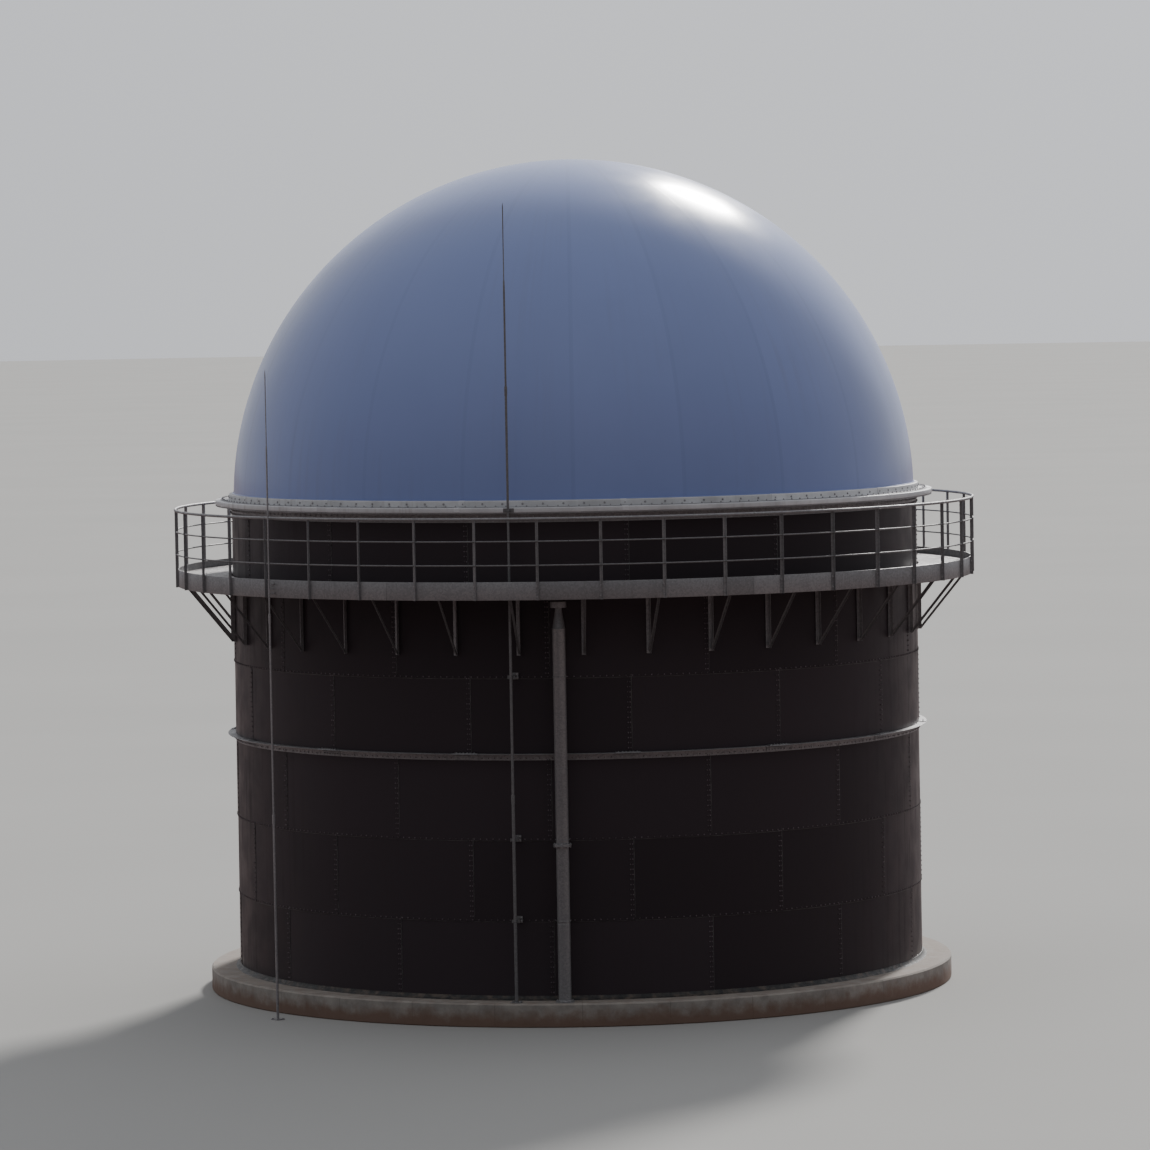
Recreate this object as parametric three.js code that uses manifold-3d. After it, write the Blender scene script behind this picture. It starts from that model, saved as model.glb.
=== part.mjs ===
// Double membrane biogas holder: a bolted steel tank of black enamelled sheets with an inflated
// dome clamped to its rim, a bracketed walkway round it, two lightning masts and a caged ladder.
// Millimetres, +Z up. The origin is the centre of the foundation's underside, at ground level.
// A bearing is measured round the tank from -Y, and grows towards +X.

import * as THREE from 'three';
import { mergeVertices } from 'three/addons/utils/BufferGeometryUtils.js';
import Module from 'manifold-3d';

const wasm = await Module();
wasm.setup();

// Tank: whole sheets set its size
const sheetsAround = 14;
const sheetLength = 2400;
const sheetHeight = 1200;
const courses = 6;
const wallThickness = 8;
const wallInner = (sheetsAround * sheetLength) / (2 * Math.PI);
const wallOuter = wallInner + wallThickness;

// Foundation
const slabHeight = 350;
const kerbWidth = 450;
const wallTop = slabHeight + courses * sheetHeight;

// Three walkway bays to each sheet, with one handrail post to each bay
const baysPerSheet = 3;
const bays = sheetsAround * baysPerSheet;
const bayAngle = (2 * Math.PI) / bays;
const firstPost = THREE.MathUtils.degToRad(-5.06);
const firstBay = -2.5;
const stepsPerBay = 2;

// The deck comes in sectors of two sheets, and the handrail in panels of one
const baysPerSector = 2 * baysPerSheet;
const baysPerPanel = baysPerSheet;

// Gap at a seat, the least distance between two corners, and how far joined pieces run together
const seat = 0.3;
const weld = 0.001;
const overlap = 1;

// Rings on the wall
const ringPlate = 10;
const stiffenerHeight = 100;
const stiffenerReach = 120;
const stiffenerCourse = 3;
const rimLeg = 140;
const rimPlate = 12;
const rimInner = 5250;
const rimOuter = 5600;
const rimTop = wallTop + rimPlate;
const shelfHeight = 78;
const shelfLip = 70;
const shelfTop = rimTop + shelfHeight;
const bandOuter = 5385;
const bandHeight = 173;
const bandTop = rimTop + bandHeight;

// Membranes
const domeRadius = 5320;
const domeRise = 5250;
const domeFoot = 7600;
const domeThickness = 20;
const domeSteps = 9;
const innerRadius = 5290;
const innerRise = 3300;
const innerThickness = 10;
const innerSteps = 4;

// Walkway
const deckTop = 6470;
const deckThickness = 30;
const deckGap = 10;
const deckInner = wallOuter + deckGap;
const edgeOuter = 6210;
const edgePlate = 10;
const edgeLow = 6310;
const kickHeight = 110;
const edgeTop = deckTop + kickHeight;
const bracketsPerSector = 5;
const bracketAngle = (baysPerSector * bayAngle) / bracketsPerSector;
const bracketShift = THREE.MathUtils.degToRad(1.95);
const bracketWidth = 50;
const bracketBar = 60;
const bracketDrop = 1000;

// Handrail
const handrailHeight = 1050;
const railTop = deckTop + handrailHeight;
const postSize = 45;
const railRadius = edgeOuter + seat + postSize / 2;
const topTube = 24;
const topTubeSides = 6;
const midTube = 13.5;
const midTubeSides = 4;
const midRails = 2;

// Lightning masts: one beside the tank's rim and one outside the walkway
const frontMast = { bearing: THREE.MathUtils.degToRad(-9.85), radius: 5650, tube: 25, top: 12100 };
const leftMast = { bearing: THREE.MathUtils.degToRad(-46.4), radius: 6290, tube: 20, top: 9700 };
const mastTip = 12;
const mastTipLength = 1200;
const mastPoleSides = 8;
const mastHole = 40;
const mastHoleSides = 16;
const mastFoot = 150;

// Arms and clamps that hold the masts, the pipe and the ladder
const clampSize = 40;
const armLevels = [1550, 2750, 5150];

// Upright process pipe
const pipe = { bearing: THREE.MathUtils.degToRad(-2.6), radius: 5600, tube: 96, top: 6260 };
const pipeNeck = 50;
const pipeCap = 120;
const pipeCapHeight = 95;
const pipeConeHeight = 270;
const pipeNeckHeight = 40;
const pipeFlange = 140;
const pipeFlangeHeight = 24;
const pipeSides = 16;

// Ladder, in the open bay of the handrail at the back
const ladderBay = 21.5;
const ladderBearing = firstPost + ladderBay * bayAngle;
const ladderRadius = 6400;
const stileGauge = 65;
const stilePlate = 20;
const stileHalf = 225;
const rungPitch = 300;
const rungTube = 11;
const rungSides = 6;
const ladderFeet = 100;
const cageHalf = 320;
const cagePlate = 8;
const cageBar = 50;
const cageStandOff = 260;
const cageCentre = ladderRadius + cageStandOff;
const cageLow = 2400;
const cageHoops = 6;
const hoopPitch = 1000;
const hoopSteps = 8;
const cageStraps = 5;
const strapLap = 3;

// Manway at the foot of the back
const manwayBay = 18.5;
const manwayBearing = firstPost + manwayBay * bayAngle;
const manwayLevel = slabHeight + sheetHeight / 2;
const manwayTube = 305;
const manwayWall = 10;
const manwayFlange = 380;
const manwayPlate = 20;
const manwayReach = 200;
const manwaySides = 24;

const concrete = new THREE.MeshStandardMaterial({ color: 0x9b978e, roughness: 0.9, metalness: 0 });
const enamel = new THREE.MeshStandardMaterial({ color: 0x1c1d1b, roughness: 0.35, metalness: 0 });
const galvanised = new THREE.MeshStandardMaterial({ color: 0x9a9fa1, roughness: 0.5, metalness: 0.8 });
const railFinish = new THREE.MeshStandardMaterial({ color: 0xcfd2d3, roughness: 0.5, metalness: 0.2 });
const outerFabric = new THREE.MeshStandardMaterial({ color: 0xa9bddd, roughness: 0.45, metalness: 0 });
const innerFabric = new THREE.MeshStandardMaterial({ color: 0xd8d8d0, roughness: 0.6, metalness: 0 });

// A closed mesh as a solid that can be joined and cut
function solidOf(geometry) {
  const bare = geometry.clone();
  bare.deleteAttribute('normal');
  bare.deleteAttribute('uv');
  const merged = mergeVertices(bare, weld);
  const corners = merged.index.array;
  const triangles = [];
  for (let i = 0; i < corners.length; i += 3) {
    const [a, b, c] = corners.slice(i, i + 3);
    if (a !== b && b !== c && c !== a) triangles.push(a, b, c);
  }
  return new wasm.Manifold(new wasm.Mesh({
    numProp: 3,
    vertProperties: merged.attributes.position.array,
    triVerts: Uint32Array.from(triangles),
  }));
}

function geometryOf(solid) {
  const mesh = solid.getMesh();
  const geometry = new THREE.BufferGeometry();
  geometry.setAttribute('position', new THREE.BufferAttribute(mesh.vertProperties, mesh.numProp));
  geometry.setIndex(new THREE.BufferAttribute(mesh.triVerts, 1));
  geometry.computeVertexNormals();
  return geometry;
}

function joined(geometries) {
  return geometries.map(solidOf).reduce((whole, piece) => whole.add(piece));
}

function piece(name, geometry, material) {
  const mesh = new THREE.Mesh(geometry, material);
  mesh.name = name;
  return mesh;
}

// Points [radius, height] as an outline that starts and ends on the axis or closes on itself
function closedProfile(points) {
  const profile = points.map(([radius, height]) => new THREE.Vector2(radius, height));
  if (points[0][0] > 0) profile.push(profile[0].clone());
  return profile;
}

// A profile turned round the tank's axis, with a corner at each post
function turned(points) {
  const profile = closedProfile(points);
  const geometry = new THREE.LatheGeometry(profile, bays, firstPost, 2 * Math.PI);
  geometry.rotateX(Math.PI / 2);
  return geometryOf(solidOf(geometry));
}

// A profile turned round an upright axis of its own
function spindle(points, sides) {
  const geometry = new THREE.LatheGeometry(closedProfile(points), sides);
  geometry.rotateX(Math.PI / 2);
  return geometry;
}

// How near the axis a block of this half width can start outside a round piece with flat sides,
// whose corners lie at this radius, one at each post and one at each step from it
function flatSide(radius, bearing, halfWidth, step = bayAngle) {
  const fromCorner = THREE.MathUtils.euclideanModulo(bearing - firstPost, step);
  const skew = fromCorner - step / 2;
  return (radius * Math.cos(step / 2) + halfWidth * Math.abs(Math.sin(skew))) / Math.cos(skew) + seat;
}

// A box at bearing zero: across the bearing, out from the axis between two radii, and up
function block(acrossSize, from, to, low, high, across = 0) {
  const geometry = new THREE.BoxGeometry(acrossSize, to - from, high - low);
  geometry.translate(across, -(from + to) / 2, (low + high) / 2);
  return geometry;
}

// A plate between two radii and two levels that spans an arc about bearing zero
function arcPlate(from, to, low, high, start, end, steps) {
  const outline = [];
  for (let i = 0; i <= steps; i += 1) {
    const bearing = start + ((end - start) * i) / steps;
    outline.push(new THREE.Vector2(to * Math.sin(bearing), -to * Math.cos(bearing)));
  }
  for (let i = steps; i >= 0; i -= 1) {
    const bearing = start + ((end - start) * i) / steps;
    outline.push(new THREE.Vector2(from * Math.sin(bearing), -from * Math.cos(bearing)));
  }
  const shape = new THREE.Shape(outline);
  const geometry = new THREE.ExtrudeGeometry(shape, { depth: high - low, bevelEnabled: false });
  geometry.translate(0, 0, low);
  return geometry;
}

class LevelArc extends THREE.Curve {
  constructor(radius, level, start, end) {
    super();
    Object.assign(this, { radius, level, start, end });
  }

  getPoint(share, target = new THREE.Vector3()) {
    const bearing = this.start + (this.end - this.start) * share;
    return target.set(this.radius * Math.sin(bearing), -this.radius * Math.cos(bearing), this.level);
  }
}

function roundShape(radius, sides) {
  const outline = [];
  for (let i = 0; i < sides; i += 1) {
    const turn = (2 * Math.PI * i) / sides;
    outline.push(new THREE.Vector2(radius * Math.cos(turn), radius * Math.sin(turn)));
  }
  return new THREE.Shape(outline);
}

function arcTube(tube, sides, level, start, end, steps) {
  const path = new LevelArc(railRadius, level, start, end);
  const section = roundShape(tube, sides);
  return new THREE.ExtrudeGeometry(section, { steps, extrudePath: path, bevelEnabled: false });
}

function foundationSlab() {
  const radius = wallOuter + kerbWidth;
  return turned([[0, 0], [radius, 0], [radius, slabHeight], [0, slabHeight]]);
}

function shellCourse(index) {
  const low = slabHeight + index * sheetHeight;
  const high = low + sheetHeight;
  return turned([[wallInner, low], [wallOuter, low], [wallOuter, high], [wallInner, high]]);
}

// An angle ring: one leg on the wall and one leg level, reaching out
function wallStiffener() {
  const foot = wallOuter + seat;
  const middle = slabHeight + stiffenerCourse * sheetHeight;
  const low = middle - stiffenerHeight / 2;
  const high = middle + stiffenerHeight / 2;
  return turned([
    [foot, low],
    [foot + ringPlate, low],
    [foot + ringPlate, high - ringPlate],
    [foot + stiffenerReach, high - ringPlate],
    [foot + stiffenerReach, high],
    [foot, high],
  ]);
}

// The rim: a level plate on the wall's top edge, with a leg down the outside of the wall
function rimRing() {
  const leg = wallOuter + seat;
  return turned([
    [rimInner, wallTop],
    [leg, wallTop],
    [leg, wallTop - rimLeg],
    [leg + ringPlate, wallTop - rimLeg],
    [leg + ringPlate, wallTop],
    [rimOuter, wallTop],
    [rimOuter, rimTop],
    [rimInner, rimTop],
  ]);
}

// The stepped rail that holds the edges of both membranes down: a shelf on the rim's plate,
// and an upright band on the shelf's inner edge that stands round the dome's foot
function anchorRail() {
  const inside = domeRadius + 2 * seat;
  return turned([
    [rimOuter - shelfLip, rimTop],
    [rimOuter, rimTop],
    [rimOuter, shelfTop],
    [bandOuter, shelfTop],
    [bandOuter, bandTop],
    [inside, bandTop],
    [inside, bandTop - ringPlate],
    [bandOuter - ringPlate, bandTop - ringPlate],
    [bandOuter - ringPlate, shelfTop - ringPlate],
    [rimOuter - ringPlate, shelfTop - ringPlate],
    [rimOuter - ringPlate, rimTop + ringPlate],
    [rimOuter - shelfLip, rimTop + ringPlate],
  ]);
}

// A quarter of an ellipse from its foot to its top
function quarterEllipse(radius, rise, steps) {
  const points = [];
  for (let i = 0; i < steps; i += 1) {
    const turn = (Math.PI / 2) * (i / steps);
    points.push([radius * Math.cos(turn), domeFoot + rise * Math.sin(turn)]);
  }
  points.push([0, domeFoot + rise]);
  return points;
}

function membrane(radius, rise, thickness, steps) {
  const low = rimTop + seat;
  const outside = quarterEllipse(radius, rise, steps);
  const inside = quarterEllipse(radius - thickness, rise - thickness, steps).reverse();
  return turned([...inside, [radius - thickness, low], [radius, low], ...outside]);
}

// One triangular bracket frame: an arm under the deck, a leg on the wall and a strut between them.
// Its bearing is counted from its sector's middle
function bracket(bearing) {
  const near = flatSide(wallOuter, runBearing(0, baysPerSector) + bearing, bracketWidth / 2);
  const far = edgeOuter - edgePlate;
  const top = deckTop - deckThickness + overlap;
  const bottom = top - bracketDrop;
  const armUnder = top - bracketBar;
  const legSide = near + bracketBar;
  const run = far - legSide;
  const fall = armUnder - bottom;
  const strut = Math.hypot(run, fall);
  const shape = new THREE.Shape();
  shape.moveTo(near, bottom);
  shape.lineTo(legSide, bottom);
  shape.lineTo(far, armUnder);
  shape.lineTo(far, top);
  shape.lineTo(near, top);
  shape.closePath();
  const gap = new THREE.Path();
  gap.moveTo(legSide, armUnder);
  gap.lineTo(legSide, bottom + (bracketBar * strut) / run);
  gap.lineTo(far - (bracketBar * strut) / fall, armUnder);
  gap.closePath();
  shape.holes.push(gap);
  const geometry = new THREE.ExtrudeGeometry(shape, { depth: bracketWidth, bevelEnabled: false });
  geometry.translate(0, 0, -bracketWidth / 2);
  const out = new THREE.Vector3(0, -1, 0);
  const up = new THREE.Vector3(0, 0, 1);
  const across = new THREE.Vector3(-1, 0, 0);
  geometry.applyMatrix4(new THREE.Matrix4().makeBasis(out, up, across));
  geometry.rotateZ(bearing);
  return geometry;
}

// Evenly spaced bearings about zero
function evenBearings(count, pitch) {
  const middle = (count - 1) / 2;
  return Array.from({ length: count }, (unused, i) => (i - middle) * pitch);
}

// Bearings of a sector's brackets, which stand at a wider pitch than the posts
function bracketBearings() {
  return evenBearings(bracketsPerSector, bracketAngle).map((bearing) => bearing + bracketShift);
}

// Bearing of the middle of a run of bays, counted round from the first bay
function runBearing(index, bayCount) {
  return firstPost + (firstBay + (index + 0.5) * bayCount) * bayAngle;
}

// Half the arc of a run of bays, short of its neighbour by the seat gap at this radius
function runReach(bayCount, radius) {
  return (bayCount * bayAngle) / 2 - seat / radius;
}

// Deck plate, edge band with its kick plate, and the brackets under them
function walkwaySector(mastBearing) {
  const reach = runReach(baysPerSector, edgeOuter);
  const steps = stepsPerBay * baysPerSector;
  const edgeInner = edgeOuter - edgePlate;
  const deckLow = deckTop - deckThickness;
  const deck = arcPlate(deckInner, edgeInner + overlap, deckLow, deckTop, -reach, reach, steps);
  const edge = arcPlate(edgeInner, edgeOuter, edgeLow, edgeTop, -reach, reach, steps);
  let solid = joined([deck, edge, ...bracketBearings().map(bracket)]);
  if (mastBearing !== null) {
    const hole = cylinder(mastHole, deckLow - deckThickness, deckTop + deckThickness, mastHoleSides);
    hole.translate(0, -frontMast.radius, 0);
    hole.rotateZ(mastBearing);
    solid = solid.subtract(solidOf(hole));
  }
  return geometryOf(solid);
}

// Posts on the outside of the edge band with three rails, which stop at the ladder's bay
function handrailPanel(openStart, openEnd) {
  const reach = runReach(baysPerPanel, railRadius);
  const posts = evenBearings(baysPerPanel, bayAngle);
  const halfPost = postSize / 2 / railRadius;
  const start = openStart ? posts[0] - halfPost : -reach;
  const end = openEnd ? posts[posts.length - 1] + halfPost : reach;
  const steps = stepsPerBay * baysPerPanel - (openStart ? 1 : 0) - (openEnd ? 1 : 0);
  const topLevel = railTop - topTube;
  const parts = posts.map((bearing) => {
    const inner = railRadius - postSize / 2;
    const post = block(postSize, inner, inner + postSize, edgeLow, topLevel);
    return post.rotateZ(bearing);
  });
  parts.push(arcTube(topTube, topTubeSides, topLevel, start, end, steps));
  for (let i = 1; i <= midRails; i += 1) {
    const level = deckTop + (i * handrailHeight) / (midRails + 1);
    parts.push(arcTube(midTube, midTubeSides, level, start, end, steps));
  }
  return geometryOf(joined(parts));
}

function cylinder(radius, low, high, sides) {
  const geometry = new THREE.CylinderGeometry(radius, radius, high - low, sides);
  geometry.rotateX(Math.PI / 2);
  geometry.translate(0, 0, (low + high) / 2);
  return geometry;
}

function mastPole(mast, low) {
  const tipLow = mast.top - mastTipLength;
  const pole = spindle([
    [0, low],
    [mast.tube, low],
    [mast.tube, tipLow],
    [mastTip, tipLow + 2 * mast.tube],
    [mastTip, mast.top],
    [0, mast.top],
  ], mastPoleSides);
  return pole.translate(0, -mast.radius, 0);
}

// A pole beside the tank, held off the wall by arms and off the rim by a clamp
function frontMastSolid() {
  const half = clampSize / 2;
  const wall = flatSide(wallOuter, frontMast.bearing, half);
  const rim = flatSide(rimOuter, frontMast.bearing, half);
  const parts = [mastPole(frontMast, slabHeight)];
  for (const level of armLevels) {
    parts.push(block(clampSize, wall, frontMast.radius, level - half, level + half));
  }
  parts.push(block(clampSize, rim, frontMast.radius, rimTop, rimTop + clampSize));
  return geometryOf(joined(parts));
}

// A pole outside the walkway, held by a clamp on the deck's edge
function leftMastSolid() {
  const half = clampSize / 2;
  const level = (edgeLow + edgeTop) / 2;
  const edge = flatSide(edgeOuter, leftMast.bearing, half, bayAngle / stepsPerBay);
  const parts = [
    mastPole(leftMast, 0),
    block(clampSize, edge, leftMast.radius, level - half, level + half),
    block(mastFoot, leftMast.radius - mastFoot / 2, leftMast.radius + mastFoot / 2, 0, mastTip),
  ];
  return geometryOf(joined(parts));
}

// An upright pipe with a foot flange, a cone and a thin neck at its head and a wide cap
function processPipe() {
  const capLow = pipe.top - pipeCapHeight;
  const coneTop = capLow - pipeNeckHeight;
  const coneLow = coneTop - pipeConeHeight;
  const footTop = slabHeight + pipeFlangeHeight;
  const body = spindle([
    [0, slabHeight],
    [pipeFlange, slabHeight],
    [pipeFlange, footTop],
    [pipe.tube, footTop],
    [pipe.tube, coneLow],
    [pipeNeck, coneTop],
    [pipeNeck, capLow],
    [pipeCap, capLow],
    [pipeCap, pipe.top],
    [0, pipe.top],
  ], pipeSides);
  body.translate(0, -pipe.radius, 0);
  const half = clampSize / 2;
  const wall = flatSide(wallOuter, pipe.bearing, half);
  const parts = [body];
  for (const level of armLevels) {
    parts.push(block(clampSize, wall, pipe.radius, level - half, level + half));
  }
  return geometryOf(joined(parts));
}

function ladder() {
  const inner = ladderRadius - stileGauge / 2;
  const outer = ladderRadius + stileGauge / 2;
  const wall = flatSide(wallOuter, ladderBearing, stileHalf);
  const half = cageBar / 2;
  const halfFoot = ladderFeet / 2;
  const parts = [];
  for (const side of [-1, 1]) {
    const across = side * stileHalf;
    parts.push(block(stilePlate, inner, outer, 0, railTop, across));
    for (const level of armLevels) {
      parts.push(block(stilePlate, wall, inner + overlap, level - half, level + half, across));
      parts.push(block(ladderFeet, wall, wall + ringPlate, level - halfFoot, level + halfFoot, across));
    }
  }
  for (let level = rungPitch; level <= deckTop; level += rungPitch) {
    const rung = cylinder(rungTube, -stileHalf, stileHalf, rungSides);
    rung.rotateY(Math.PI / 2);
    parts.push(rung.translate(0, -ladderRadius, level));
  }
  return geometryOf(joined(parts));
}

// One hoop of the cage: straight sides, a round back, and a lug to each stile
function cageHoop(level) {
  const low = level - cageBar / 2;
  const high = level + cageBar / 2;
  const shape = new THREE.Shape();
  const outside = cageHalf + cagePlate;
  shape.moveTo(-outside, -ladderRadius);
  shape.lineTo(-outside, -cageCentre);
  shape.absarc(0, -cageCentre, outside, Math.PI, 2 * Math.PI, false);
  shape.lineTo(outside, -ladderRadius);
  shape.lineTo(cageHalf, -ladderRadius);
  shape.lineTo(cageHalf, -cageCentre);
  shape.absarc(0, -cageCentre, cageHalf, 2 * Math.PI, Math.PI, true);
  shape.lineTo(-cageHalf, -ladderRadius);
  shape.closePath();
  const hoop = new THREE.ExtrudeGeometry(shape, {
    depth: cageBar,
    curveSegments: hoopSteps / 2,
    bevelEnabled: false,
  });
  hoop.translate(0, 0, low);
  const lugFrom = stileHalf + stilePlate / 2 + seat;
  const lugSize = outside - lugFrom;
  const parts = [hoop];
  for (const side of [-1, 1]) {
    const across = side * (lugFrom + lugSize / 2);
    parts.push(block(lugSize, ladderRadius - cagePlate, ladderRadius + cagePlate, low, high, across));
  }
  return parts;
}

function ladderCage() {
  const half = cageBar / 2;
  const levels = Array.from({ length: cageHoops }, (unused, i) => cageLow + i * hoopPitch);
  const low = levels[0] - half;
  const high = levels[cageHoops - 1] + half;
  const parts = levels.flatMap(cageHoop);
  const from = cageHalf + cagePlate - strapLap;
  for (let i = 0; i < cageStraps; i += 1) {
    const strap = block(cageBar, from, from + cagePlate, low, high);
    strap.rotateZ(Math.PI * (i / (cageStraps - 1) - 0.5));
    parts.push(strap.translate(0, -cageCentre, 0));
  }
  return geometryOf(joined(parts));
}

// A round piece lying along the bearing, from its own profile of [radius, distance out]
function outwardSpindle(points) {
  const geometry = spindle(points, manwaySides);
  geometry.rotateX(Math.PI / 2);
  geometry.translate(0, 0, manwayLevel);
  return geometryOf(solidOf(geometry));
}

function manwayNeck() {
  const from = flatSide(wallOuter, manwayBearing, manwayTube);
  const to = from + manwayReach;
  const inside = manwayTube - manwayWall;
  return outwardSpindle([
    [inside, from],
    [manwayTube, from],
    [manwayTube, to - manwayPlate],
    [manwayFlange, to - manwayPlate],
    [manwayFlange, to],
    [inside, to],
  ]);
}

function manwayCover() {
  const from = flatSide(wallOuter, manwayBearing, manwayTube) + manwayReach + seat;
  const to = from + manwayPlate;
  return outwardSpindle([[0, from], [manwayFlange, from], [manwayFlange, to], [0, to]]);
}

// A group turned to a bearing round the tank
function atBearing(bearing, ...pieces) {
  const group = new THREE.Group();
  group.rotation.z = bearing;
  group.add(...pieces);
  return group;
}

function tank() {
  const group = new THREE.Group();
  group.add(piece('foundation_slab', foundationSlab(), concrete));
  for (let i = 0; i < courses; i += 1) {
    group.add(piece(`shell_course_${i + 1}`, shellCourse(i), enamel));
  }
  group.add(piece('wall_stiffener_ring', wallStiffener(), galvanised));
  group.add(piece('rim_ring', rimRing(), galvanised));
  group.add(atBearing(manwayBearing,
    piece('manway_neck', manwayNeck(), enamel),
    piece('manway_cover', manwayCover(), enamel)));
  return group;
}

function gasHolder() {
  const group = new THREE.Group();
  group.add(piece('membrane_anchor_rail', anchorRail(), railFinish));
  const outer = membrane(domeRadius, domeRise, domeThickness, domeSteps);
  const inner = membrane(innerRadius, innerRise, innerThickness, innerSteps);
  group.add(piece('outer_membrane', outer, outerFabric));
  group.add(piece('inner_membrane', inner, innerFabric));
  return group;
}

function walkway() {
  const group = new THREE.Group();
  for (let i = 0; i < bays / baysPerSector; i += 1) {
    const bearing = runBearing(i, baysPerSector);
    const mastBearing = i === 0 ? frontMast.bearing - bearing : null;
    const sector = piece(`walkway_sector_${i + 1}`, walkwaySector(mastBearing), galvanised);
    group.add(atBearing(bearing, sector));
  }
  const afterLadder = (ladderBay - firstBay) / baysPerPanel;
  for (let i = 0; i < bays / baysPerPanel; i += 1) {
    const rails = handrailPanel(i === afterLadder, i === afterLadder - 1);
    const panel = piece(`handrail_panel_${i + 1}`, rails, galvanised);
    group.add(atBearing(runBearing(i, baysPerPanel), panel));
  }
  return group;
}

function fittings() {
  const group = new THREE.Group();
  group.add(atBearing(frontMast.bearing, piece('lightning_mast_front', frontMastSolid(), galvanised)));
  group.add(atBearing(leftMast.bearing, piece('lightning_mast_left', leftMastSolid(), galvanised)));
  group.add(atBearing(pipe.bearing, piece('process_pipe', processPipe(), galvanised)));
  group.add(atBearing(ladderBearing,
    piece('ladder', ladder(), galvanised),
    piece('ladder_cage', ladderCage(), galvanised)));
  return group;
}

const holder = new THREE.Group();
holder.name = 'biogas_holder';
holder.add(tank(), gasHolder(), walkway(), fittings());

export default holder;
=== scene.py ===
# Double membrane biogas holder: a bolted tank of black enamelled sheets with an inflated dome, dressed
# as it looks. Metres, +Z up, in the packed model's own frame. A bearing is measured round the tank
# from -Y, and grows towards +X. Pieces are made at bearing zero, where outwards is -Y, and turned.

import math
from typing import NamedTuple

import bpy
import numpy as np
from mathutils import Matrix, Vector


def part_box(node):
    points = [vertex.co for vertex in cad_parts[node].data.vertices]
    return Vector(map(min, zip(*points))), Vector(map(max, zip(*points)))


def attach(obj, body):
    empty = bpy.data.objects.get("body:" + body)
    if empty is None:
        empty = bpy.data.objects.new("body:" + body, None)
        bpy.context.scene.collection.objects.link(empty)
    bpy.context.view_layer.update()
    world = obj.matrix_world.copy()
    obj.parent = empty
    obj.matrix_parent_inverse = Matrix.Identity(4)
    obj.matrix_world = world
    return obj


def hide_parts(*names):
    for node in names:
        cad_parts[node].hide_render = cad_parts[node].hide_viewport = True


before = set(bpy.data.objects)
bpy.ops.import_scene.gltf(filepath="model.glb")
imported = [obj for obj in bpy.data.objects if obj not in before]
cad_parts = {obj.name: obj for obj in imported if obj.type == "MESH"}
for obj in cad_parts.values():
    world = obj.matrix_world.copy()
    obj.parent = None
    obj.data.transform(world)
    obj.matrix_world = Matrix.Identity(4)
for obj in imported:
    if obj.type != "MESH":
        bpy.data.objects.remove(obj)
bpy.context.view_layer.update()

bl_info = {
    "name": "Double membrane biogas holder",
    "version": (1, 0, 0),
    "blender": (4, 5, 0),
    "location": "3D View > Sidebar > Biogas holder",
    "description": "Builds the tank, its membranes, walkway, rails, masts, pipe, ladder and manway",
    "category": "Add Mesh",
}

UP = (0, 0, 1)
OUT = (0, -1, 0)

# How the holder repeats round its axis
SHEETS_AROUND = 14
SHEET_TURN = 2 * math.pi / SHEETS_AROUND
COURSES = 6
BAYS = 42
BAY = 2 * math.pi / BAYS
FIRST_POST = math.radians(-5.06)
FIRST_BAY = -2.5
BAYS_PER_SECTOR = 6
BAYS_PER_PANEL = 3
BRACKETS_PER_SECTOR = 5
BRACKET_SHIFT = math.radians(1.95)
RING_SIDES = 210
FINE_SIDES = 280

# Where single parts stand: a bearing, and how far the part is from the tank's axis or how high it is
FRONT_MAST, FRONT_MAST_AWAY = math.radians(-9.85), 5.65
LEFT_MAST, LEFT_MAST_AWAY = math.radians(-46.4), 6.29
PIPE, PIPE_AWAY = math.radians(-2.6), 5.6
LADDER_BAY = 21.5
LADDER, LADDER_AWAY = FIRST_POST + LADDER_BAY * BAY, 6.4
CAGE_AWAY = 6.66
MANWAY, MANWAY_LEVEL = FIRST_POST + 18.5 * BAY, 0.95

# Sizes that several parts share: a cut edge, the gap between two faces, and a common nut's radius
BEVEL = 0.002
CLEAR = 0.001
NUT = 0.011

# The deck under the top rail, and the two rows of bolts in from a sheet's edge
DECK_BELOW_RAIL = 1.05
CAP_ROWS = (0.02, 0.055)

# Levels of the arms on the wall, and the poles' lengths, each narrower than the one below by a step
ARM_LEVELS = (1.55, 2.75, 5.15)
POLE_LENGTH = 3.0
POLE_STEP = 0.0035

# The ladder: from its middle to a stile, from rung to rung, and the levels of its cage's hoops
STILE_HALF = 0.225
RUNG_STEP = 0.3
HOOP_LEVELS = (2.4, 3.4, 4.4, 5.4, 6.4, 7.4)


def places_of(node):
    """The distances from the tank's axis and the levels of a CAD node's corners."""
    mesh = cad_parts[node].data
    flat = np.empty(3 * len(mesh.vertices), np.float32)
    mesh.vertices.foreach_get("co", flat)
    points = flat.reshape(-1, 3).astype(float)
    return np.hypot(points[:, 0], points[:, 1]), points[:, 2]


def reach(node):
    """A CAD node's least and greatest distance from the tank's axis, and its lowest and highest level."""
    away, level = places_of(node)
    return away.min(), away.max(), level.min(), level.max()


def step_of(node):
    """The level of a stepped ring's outer part, and the outer radius of its high part."""
    away, level = places_of(node)
    return level[away > away.max() - 0.02].max(), away[level > level.max() - 0.001].max()


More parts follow.
